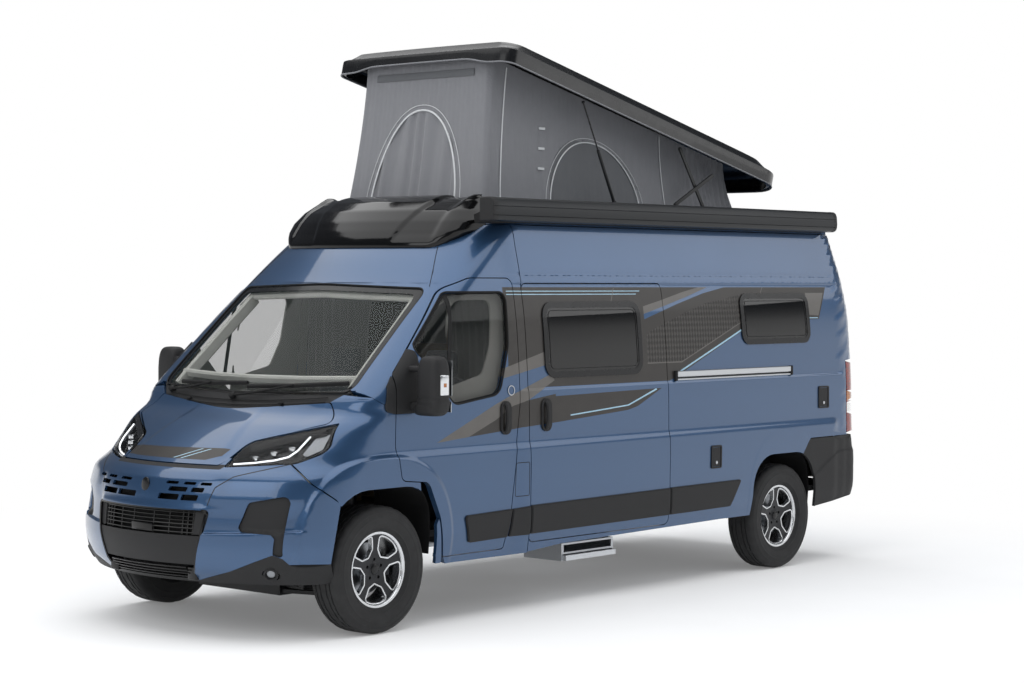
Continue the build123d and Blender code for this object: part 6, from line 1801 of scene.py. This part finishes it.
for side, label in SIDES:
    body = f"cab_door_{label}"
    parts = [housing((1.7785, 1.161, 1.425), (0.0765, 0.0925, 0.1745), shape=mirror_shape),
             housing((1.786, 1.145, 1.292), (0.068, 0.098, 0.040), 3.0, 20),
             block((1.764, 0.975, 1.276), (1.834, 1.110, 1.326), 0.018),
             block((1.779, 0.960, 1.506), (1.829, 1.115, 1.540), 0.013)]
    settle(joined(f"mirror_housing_{label}", handed(parts, side), TRIM_PLASTIC, 50), body, "grey_plastic",
           f"mirror_{label}")
    glasses = [block((1.6995, 1.086, 1.368), (1.7035, 1.236, 1.572), 0.0018, 2),
               block((1.7000, 1.090, 1.272), (1.7050, 1.232, 1.334), 0.002, 2)]
    settle(joined(f"mirror_glass_{label}", handed(glasses, side), MIRROR_GLASS), body, "glass")
    lens_part = block((1.742, 1.238, 1.372), (1.812, 1.2535, 1.492), 0.008)
    amber = block((1.764, 1.250, 1.420), (1.790, 1.2540, 1.444), 0.0018, 2)
    settle(joined(f"mirror_repeater_{label}", handed([lens_part], side), CHROME), body, "lamp_lens")
    settle(joined(f"mirror_repeater_bulb_{label}", handed([amber], side), AMBER_LENS), body, "lamp_lens")
    door_plate = [(1.720, 1.262, 0.02), (1.9445, 1.262, 0.004), (1.9335, 1.487, 0.004), (1.790, 1.632, 0.02),
                  (1.752, 1.618, 0.02)]
    flat_fitting(f"mirror_plate_{label}", door_plate, side, 0.010, 0.016, TRIM_PLASTIC, body)
    fixed_plate = [(1.9515, 1.262, 0.004), (2.036, 1.282, 0.03), (1.990, 1.425, 0.05), (1.9405, 1.484, 0.004)]
    flat_fitting(f"mirror_corner_{label}", fixed_plate, side, 0.010, 0.016, TRIM_PLASTIC)

# ---------------------------------------------------------------- wheels
TYRE_HALF = [(0.205, 0.0755), (0.216, 0.0775), (0.223, 0.083), (0.229, 0.0955), (0.240, 0.1030),
             (0.2412, 0.1048), (0.2465, 0.1052), (0.2480, 0.1042), (0.268, 0.1090), (0.290, 0.1120),
             (0.3010, 0.1118), (0.3022, 0.1125), (0.3075, 0.1120), (0.3085, 0.1110), (0.320, 0.1094),
             (0.3305, 0.1072), (0.3315, 0.1085), (0.3400, 0.1068), (0.3410, 0.1052), (0.352, 0.1005),
             (0.3605, 0.0930), (0.3660, 0.0845), (0.3688, 0.0765), (0.3698, 0.0625),
             (0.3625, 0.0605), (0.3625, 0.0525), (0.3699, 0.0505), (0.3700, 0.0305), (0.3625, 0.0285),
             (0.3625, 0.0205), (0.3700, 0.0185), (0.3700, 0.0)]
TYRE = TYRE_HALF + [(r, -y) for r, y in TYRE_HALF[-2::-1]]
TREAD_BLOCKS = 120


def tread(i, r, y):
    """Sipes across the shoulders and the ribs, staggered from rib to rib."""
    if r < 0.350:
        return 0.0
    rib = int(abs(y) * 1000 // 22)
    return 0.0042 if (i + rib) % 4 == 0 and r > 0.3635 else 0.0


WINDOW = [(0.172, 0.083, 0.012), (0.110, 0.048, 0.012), (0.088, 0.0, 0.006), (0.110, -0.048, 0.012),
          (0.172, -0.083, 0.012), (0.190, -0.040, 0.05), (0.196, 0.0, 0.2), (0.190, 0.040, 0.05)]


def wheel_window(turn, by=0.0):
    """One opening between the spokes, in the wheel's own plane (sideways, up)."""
    shape = grown(WINDOW, by)
    c, s = math.cos(turn), math.sin(turn)
    return rounded([(t * c + r * s, r * c - t * s, e) for r, t, e in shape], 0.008)


def face_depth(r):
    """How far the wheel's face stands out, by the distance from its middle."""
    return np.interp(r, [0.0, 0.030, 0.045, 0.075, 0.130, 0.180, 0.198, 0.206],
                     [0.052, 0.054, 0.048, 0.050, 0.058, 0.062,
                                                                            0.066, 0.070])


WHEELS = [(f"{axle}_{hand}", *AXLES[axle], side) for axle in AXLES for side, hand in SIDES]
SPOKES = 5
BOLT_CIRCLE = 0.058
for label, cx, cy, side in WHEELS:
    body = f"wheel_{label}"
    centre = (cx, side * cy, WHEEL_R)
    settle(joined(f"tyre_carcass_{label}", [lathed(TYRE, centre, TREAD_BLOCKS, side, tread)], RUBBER, 32),
           body, "tyre_rubber", f"tyre_{label}")

    def wheel_face(uv, depth):
        r = np.hypot(uv[:, 0], uv[:, 1])
        return np.stack([cx - side * uv[:, 0], side * (cy + face_depth(r) + depth), WHEEL_R + uv[:, 1]],
                        axis=1)

    ring = np.array([(0.205 * math.cos(a), 0.205 * math.sin(a))
                     for a in np.linspace(0, 2 * math.pi, 120)[:-1]])
    turns = [2 * math.pi * (k + 0.5) / SPOKES for k in range(SPOKES)]
    holes = [wheel_window(t) for t in turns]
    hole_turns = np.linspace(0, 2 * math.pi, 20)[:-1]
    bolts = [(BOLT_CIRCLE * math.sin(2 * math.pi * k / SPOKES),
              BOLT_CIRCLE * math.cos(2 * math.pi * k / SPOKES))
             for k in range(SPOKES)]
    bolt_holes = [np.array([(u + 0.010 * math.cos(a), v + 0.010 * math.sin(a)) for a in hole_turns])
                  for u, v in bolts]
    face = panel(f"wheel_spokes_{label}", wheel_face, [ring], [WHEEL_PAINT, TURNED], holes + bolt_holes,
                 [(wheel_window(t, 0.0085), 1) for t in turns], step=(0.012, 0.012), thick=0.030, lining=0)
    settle(face, body, "wheel_alloy", f"rim_{label}")
    barrel = [(0.2045, 0.0710), (0.2100, 0.0755), (0.2190, 0.0770), (0.2215, 0.0790), (0.2190, 0.0812),
              (0.2065, 0.0800), (0.2010, 0.0740), (0.1985, 0.0600), (0.1930, 0.0400), (0.1880, -0.0300),
              (0.1960, -0.0760), (0.2150, -0.0800), (0.2150, -0.0770), (0.2020, -0.0740), (0.1960, -0.0300),
              (0.2010, 0.0400)]
    settle(joined(f"wheel_barrel_{label}", [lathed(barrel, centre, 96, side)], TURNED, 40), body,
           "wheel_alloy")
    disc = [(0.070, -0.030), (0.148, -0.030), (0.148, -0.018), (0.078, -0.018), (0.076, 0.024),
            (0.030, 0.024), (0.030, -0.030)]
    settle(joined(f"brake_disc_{label}", [lathed(disc, centre, 72, side)], STEEL, 40), body, "engine_iron")
    hub = [button((cx, side * (cy + 0.050), WHEEL_R), (0, side, 0), 0.031, 0.012, 0.5)]
    for u, v in bolts:
        hub.append(button((cx - side * u, side * (cy + 0.030), WHEEL_R + v), (0, side, 0), 0.0095, 0.012))
    settle(joined(f"wheel_cap_{label}", hub, SHELL_BLACK), body, "wheel_alloy")


# ---------------------------------------------------------------- cab interior
dash_side = rounded(drawn((1955, 1322, 10), (1700, 1296, 80), (1612, 1262, 60), (1535, 1180, 50),
                          (1562, 985, 60), (1662, 826, 40), (1955, 826, 10)), 0.03)
dash_rings = []
for y in np.linspace(-0.885, 0.885, 61):
    hood = 0.030 * math.exp(-((y + 0.42) / 0.20) ** 4)
    bow = 0.030 * (y / 0.9) ** 2
    lift = ease(dash_side[:, 1], 1.18, 1.28) * ease(dash_side[:, 0], 1.80, 1.66)
    dash_rings.append(np.column_stack([dash_side[:, 0] + bow * ease(dash_side[:, 0], 1.80, 1.60),
                                       np.full(len(dash_side), y), dash_side[:, 1] + hood * lift]))
settle(ring_skin("dashboard_moulding", dash_rings, DARK_LINING, capped=True), "root", "grey_plastic",
       "dashboard")
dash_bits = [block((1.515, -0.150, 1.135), (1.545, 0.130, 1.275), 0.008)]
for y in (-0.80, -0.235, 0.215, 0.80):
    dash_bits.append(block((1.528, y - 0.055, 1.150), (1.560, y + 0.055, 1.212), 0.012))
settle(joined("dashboard_screen_vents", dash_bits, GLOSS_BLACK), "root", "gloss_black")
ledge_path = along_front([(-0.79, 1.492), (-0.40, 1.482), (0.0, 1.479), (0.40, 1.482), (0.79, 1.492)], -0.055,
                         0.05)
settle(joined("screen_base_trim", [sweep(ledge_path, bar(0.034, 0.052, 0.3), (0.5, 0, 0.86))], BLIND_FRAME),
       "root", "grey_plastic")
for side, label in SIDES:
    inner_pillar = along_front([(side * 0.775, 1.42), (side * 0.762, 1.60), (side * 0.750, 1.80),
                                (side * 0.735, 1.965)],
                               -0.070, 0.04)
    settle(joined(f"pillar_trim_{label}", [sweep(inner_pillar, bar(0.080, 0.030, 0.35), (0, 1, 0.1))],
                  BLIND_FRAME),
           "root", "grey_plastic")
header_trim = along_front([(-0.78, 1.985), (0.0, 2.008), (0.78, 1.985)], -0.060, 0.05)
header = [sweep(header_trim, bar(0.10, 0.040, 0.35), (0.7, 0, 0.7))]
settle(joined("header_trim", header, BLIND_FRAME), "root", "grey_plastic")

WHEEL_CENTRE = np.array((1.430, -0.420, 1.200))
TILT = math.radians(45)
COLUMN = np.array((math.cos(TILT), 0, -math.sin(TILT)))
up_rim = np.array((math.sin(TILT), 0, math.cos(TILT)))
rim_path = [WHEEL_CENTRE + 0.178 * (math.cos(a) * np.array((0, 1, 0)) + math.sin(a) * up_rim)
            for a in np.linspace(0, 2 * math.pi, 64)[:-1]]
steer_parts = [sweep(rim_path, circle(0.0145, 14), tuple(COLUMN), closed=True)]
for a in (math.radians(8), math.radians(172), math.radians(-90)):
    out = WHEEL_CENTRE + 0.170 * (math.cos(a) * np.array((0, 1, 0)) + math.sin(a) * up_rim)
    steer_parts.append(sweep([WHEEL_CENTRE + 0.030 * COLUMN, (WHEEL_CENTRE + out) / 2 + 0.022 * COLUMN, out],
                             bar(0.034, 0.014, 0.4), tuple(COLUMN)))
boss_profile = [(0.001, -0.045), (0.050, -0.040), (0.062, -0.015), (0.058, 0.012), (0.030, 0.024),
                (0.001, 0.027)]
steer_parts.append(turned_to(lathed(boss_profile, (0, 0, 0), 40), WHEEL_CENTRE + 0.015 * COLUMN, -COLUMN))
settle(joined("steering_wheel_leather", steer_parts, DARK_LINING, 45), "steering_wheel", "grey_plastic",
       "steering_wheel")


SEAT_OUT = 0.43      # a seat's middle, from the middle of the van


def cushion(low, high, soft, crown, axis, waist=0.04, rows=26, count=72):
    """(verts, faces) of a stuffed pad: crowned on its broad faces, drawn in between its corners."""
    low, high = np.array(low, float), np.array(high, float)
    centre, half = (low + high) / 2, (high - low) / 2
    other = [k for k in range(3) if k != axis]
    verts = []
    for i in range(rows):
        t = -math.cos(math.pi * (i + 0.5) / rows)
        size = (1 - abs(t) ** soft) ** (1 / soft)
        for k in range(count):
            a = 2 * math.pi * k / count
            c, s = math.cos(a), math.sin(a)
            u = math.copysign(abs(c) ** 0.42, c) * size
            v = math.copysign(abs(s) ** 0.42, s) * size
            drawn_in = 1 - waist * (1 - abs(c * s) * 2) * (1 - abs(t))
            point = centre.copy()
            point[other[0]] += half[other[0]] * u * drawn_in
            point[other[1]] += half[other[1]] * v * drawn_in
            point[axis] += half[axis] * t * (1 - crown + crown * (1 - u * u) * (1 - v * v))
            verts.append(point)
    return verts, ring_faces(rows, count) + end_caps(rows, count)


for side, label in SIDES:
    y = side * SEAT_OUT
    pads = {
        "cushion": ((0.960, y - 0.235, 0.800), (1.430, y + 0.235, 0.930), 2),
        "back": ((0.870, y - 0.225, 0.870), (1.008, y + 0.225, 1.438), 0),
        "headrest": ((0.882, y - 0.130, 1.425), (0.978, y + 0.130, 1.598), 0),
    }
    for name, (low, high, axis) in pads.items():
        pad = joined(f"seat_{name}_{label}", [cushion(low, high, 4.0, 0.35, axis)], SEAT_CLOTH, 60)
        settle(pad, "root", "seat_fabric", *(["cab_seats"] if (name, label) == ("cushion", "left") else []))
    seat_frame = [block((0.985, y - 0.175, 0.565), (1.375, y + 0.175, 0.798), 0.03),
                  block((0.925, y - 0.030, 1.400), (0.945, y - 0.018, 1.470), 0.003),
                  block((0.925, y + 0.018, 1.400), (0.945, y + 0.030, 1.470), 0.003)]
    settle(joined(f"seat_base_{label}", seat_frame, DARK_LINING), "root", "grey_plastic")

curtain_rail = [block((0.792, -0.90, 2.052), (0.812, 0.90, 2.064), 0.004)]
settle(joined("curtain_rail", curtain_rail, ANODISED), "root", "step_alloy")
for label, y_from, y_to in (("right", -0.915, -0.285), ("left", 0.915, 0.330)):
    across = np.linspace(0, 1, 200)
    drop = np.linspace(0, 1, 30)
    sheets = []
    for face in (0.0, 0.0016):
        for t in drop:
            wide = 1 - 0.10 * math.sin(math.pi * min(1.0, t * 1.1)) * across
            y = y_from + (y_to - y_from) * across * wide
            fold = 0.020 * np.sin(across * 52 + 0.8 * np.sin(across * 9 + t)) * (0.75 + 0.25 * t)
            sheets.append(np.column_stack([0.802 + fold + face, y, np.full(len(y), 2.050 - 1.30 * t)]))
    verts = np.concatenate(sheets)
    n, rows_n = len(across), len(drop)
    faces = []
    for layer in (0, 1):
        for i in range(rows_n - 1):
            for k in range(n - 1):
                base = layer * n * rows_n
                quad = (base + i * n + k, base + i * n + k + 1, base + (i + 1) * n + k + 1,
                        base + (i + 1) * n + k)
                faces.append(quad if layer else quad[::-1])
    loop_ids = ([k for k in range(n)] + [i * n + n - 1 for i in range(1, rows_n)]
                + [(rows_n - 1) * n + k for k in range(n - 2, -1, -1)] + [i * n
                                                                          for i in range(rows_n - 2, 0, -1)])
    for a, b in zip(loop_ids, loop_ids[1:] + loop_ids[:1]):
        faces.append((a, b, b + n * rows_n, a + n * rows_n))
    cloth = settle(build(f"cab_curtain_{label}", verts, faces, CURTAIN, sharp=60), "root", "tent_fabric")

# ---------------------------------------------------------------- finishes of the nodes that stay
KEPT = {
    "floor_pan": DARK_LINING, "wheel_arch_liners": SEAL, "chassis_frame": POWDER_BLACK,
        "engine_block": CAST_IRON,
    "underbody": BRUSHED, "front_suspension": POWDER_BLACK, "rear_axle": POWDER_BLACK,
        "knuckle_left": CAST_IRON,
    "knuckle_right": CAST_IRON, "strut_cylinders": POWDER_BLACK, "strut_rods": SHELL_BLACK,
    "scissor_arms_a": POWDER_BLACK, "scissor_arms_b": POWDER_BLACK, "furniture": OAK, "step_housing": BRUSHED,
    "step_tread": ANODISED,
}
for node, material in KEPT.items():
    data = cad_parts[node].data
    for index in range(len(data.materials)):
        data.materials[index] = material


# ---------------------------------------------------------------- studio
def camera_rays(tree):
    """1 for rays that see the surface straight, in a glossy finish or through glass."""
    path = tree.nodes.new("ShaderNodeLightPath")
    seen = path.outputs["Is Camera Ray"]
    for name in ("Is Glossy Ray", "Is Transmission Ray"):
        seen = add(tree, "Math", {"operation": "MAXIMUM"}, _0=seen, _1=path.outputs[name]).outputs[0]
    return seen


world = bpy.data.worlds.new("studio")
bpy.context.scene.world = world
world.use_nodes = True
tree = world.node_tree
direction = add(tree, "SeparateXYZ", Vector=tree.nodes.new("ShaderNodeTexCoord").outputs["Generated"])
ceiling = add(tree, "MapRange", {"interpolation_type": "SMOOTHSTEP"}, Value=direction.outputs["Z"],
              From_Min=0.05, From_Max=0.17)
in_gloss = tree.nodes.new("ShaderNodeLightPath").outputs["Is Glossy Ray"]
dimmed = add(tree, "Math", {"operation": "MULTIPLY"}, _0=ceiling.outputs[0], _1=in_gloss)
wall = mix_colours(tree, dimmed.outputs[0], "#ffffff", "#55585d")
background = tree.nodes["Background"]
soft_fill = mix_colours(tree, camera_rays(tree), "#b4b7bb", wall)
tree.links.new(soft_fill, background.inputs["Color"])
background.inputs["Strength"].default_value = 1.0

floor_mesh = bpy.data.meshes.new("studio_floor")
made = bmesh.new()
bmesh.ops.create_circle(made, cap_ends=True, radius=60.0, segments=96)
made.to_mesh(floor_mesh)
made.free()
floor = bpy.data.objects.new("studio_floor", floor_mesh)
bpy.context.scene.collection.objects.link(floor)
# Painted studio floor: matt white, faintly mottled by the roller, fading into the backdrop.
material, tree, shader = surface_of("studio_paint", "#f6f6f6", 0.9, Specular_IOR_Level=0.2)
mottle = add(tree, "TexNoise", Vector=place(tree), Scale=1.5, Detail=3.0)
tree.links.new(mix_colours(tree, mottle.outputs["Fac"], "#f4f4f4", "#fafafa"), shader.inputs["Base Color"])
reach = add(tree, "VectorMath", {"operation": "LENGTH"}, _0=place(tree))
fade = add(tree, "MapRange", {"interpolation_type": "SMOOTHSTEP"}, Value=reach.outputs["Value"], From_Min=3.4,
           From_Max=6.2, To_Min=0.16)
glow = add(tree, "Emission", Color=rgb("#ffffff"), Strength=1.0)
far_floor = add(tree, "Math", {"operation": "MULTIPLY"}, _0=fade.outputs[0], _1=camera_rays(tree))
blend = add(tree, "MixShader", _0=far_floor.outputs[0], _1=shader.outputs[0], _2=glow.outputs[0])
tree.links.new(blend.outputs[0], tree.nodes["Material Output"].inputs["Surface"])
floor_mesh.materials.append(material)


def softbox(name, place_at, aim, size, watts):
    """A white rectangular lamp that faces a point of the van or the floor."""
    lamp = bpy.data.lights.new(name, "AREA")
    lamp.shape = "RECTANGLE"
    lamp.size, lamp.size_y = size
    lamp.energy = watts
    holder = bpy.data.objects.new(name, lamp)
    holder.location = place_at
    holder.rotation_euler = (Vector(aim) - Vector(place_at)).to_track_quat("-Z", "Y").to_euler()
    bpy.context.scene.collection.objects.link(holder)


softbox("overhead_box", (0.5, -0.75, 8.0), (0.5, -0.75, 0.0), (13.0, 13.5), 900)
softbox("front_box", (11.0, 1.0, 6.5), (1.5, 0.0, 1.0), (9.0, 5.0), 330)
softbox("side_box", (-8.5, 8.5, 5.8), (-0.5, 1.0, 2.0), (9.0, 4.5), 210)

# Camera: at standing eye height, off the left front corner.
EYE = (11.0904086, 9.9824701, 2.04611755)
YAW, PITCH, ROLL = 3.86465834, -0.0281889, 0.00457995
SENSOR_MM, LENS_MM = 36.0, 78.068
view_dir = Vector((math.cos(PITCH) * math.cos(YAW), math.cos(PITCH) * math.sin(YAW), math.sin(PITCH)))
right = view_dir.cross(Vector((0, 0, 1))).normalized()
upward = right.cross(view_dir)
right, upward = (right * math.cos(ROLL) + upward * math.sin(ROLL),
                 upward * math.cos(ROLL) - right * math.sin(ROLL))
camera_data = bpy.data.cameras.new("camera")
camera_data.sensor_width = SENSOR_MM
camera_data.lens = LENS_MM
camera = bpy.data.objects.new("camera", camera_data)
turn = Matrix((right, upward, -view_dir)).transposed().to_4x4()
camera.matrix_world = Matrix.Translation(EYE) @ turn
bpy.context.scene.collection.objects.link(camera)
bpy.context.scene.camera = camera
bpy.context.scene.view_settings.view_transform = "Standard"
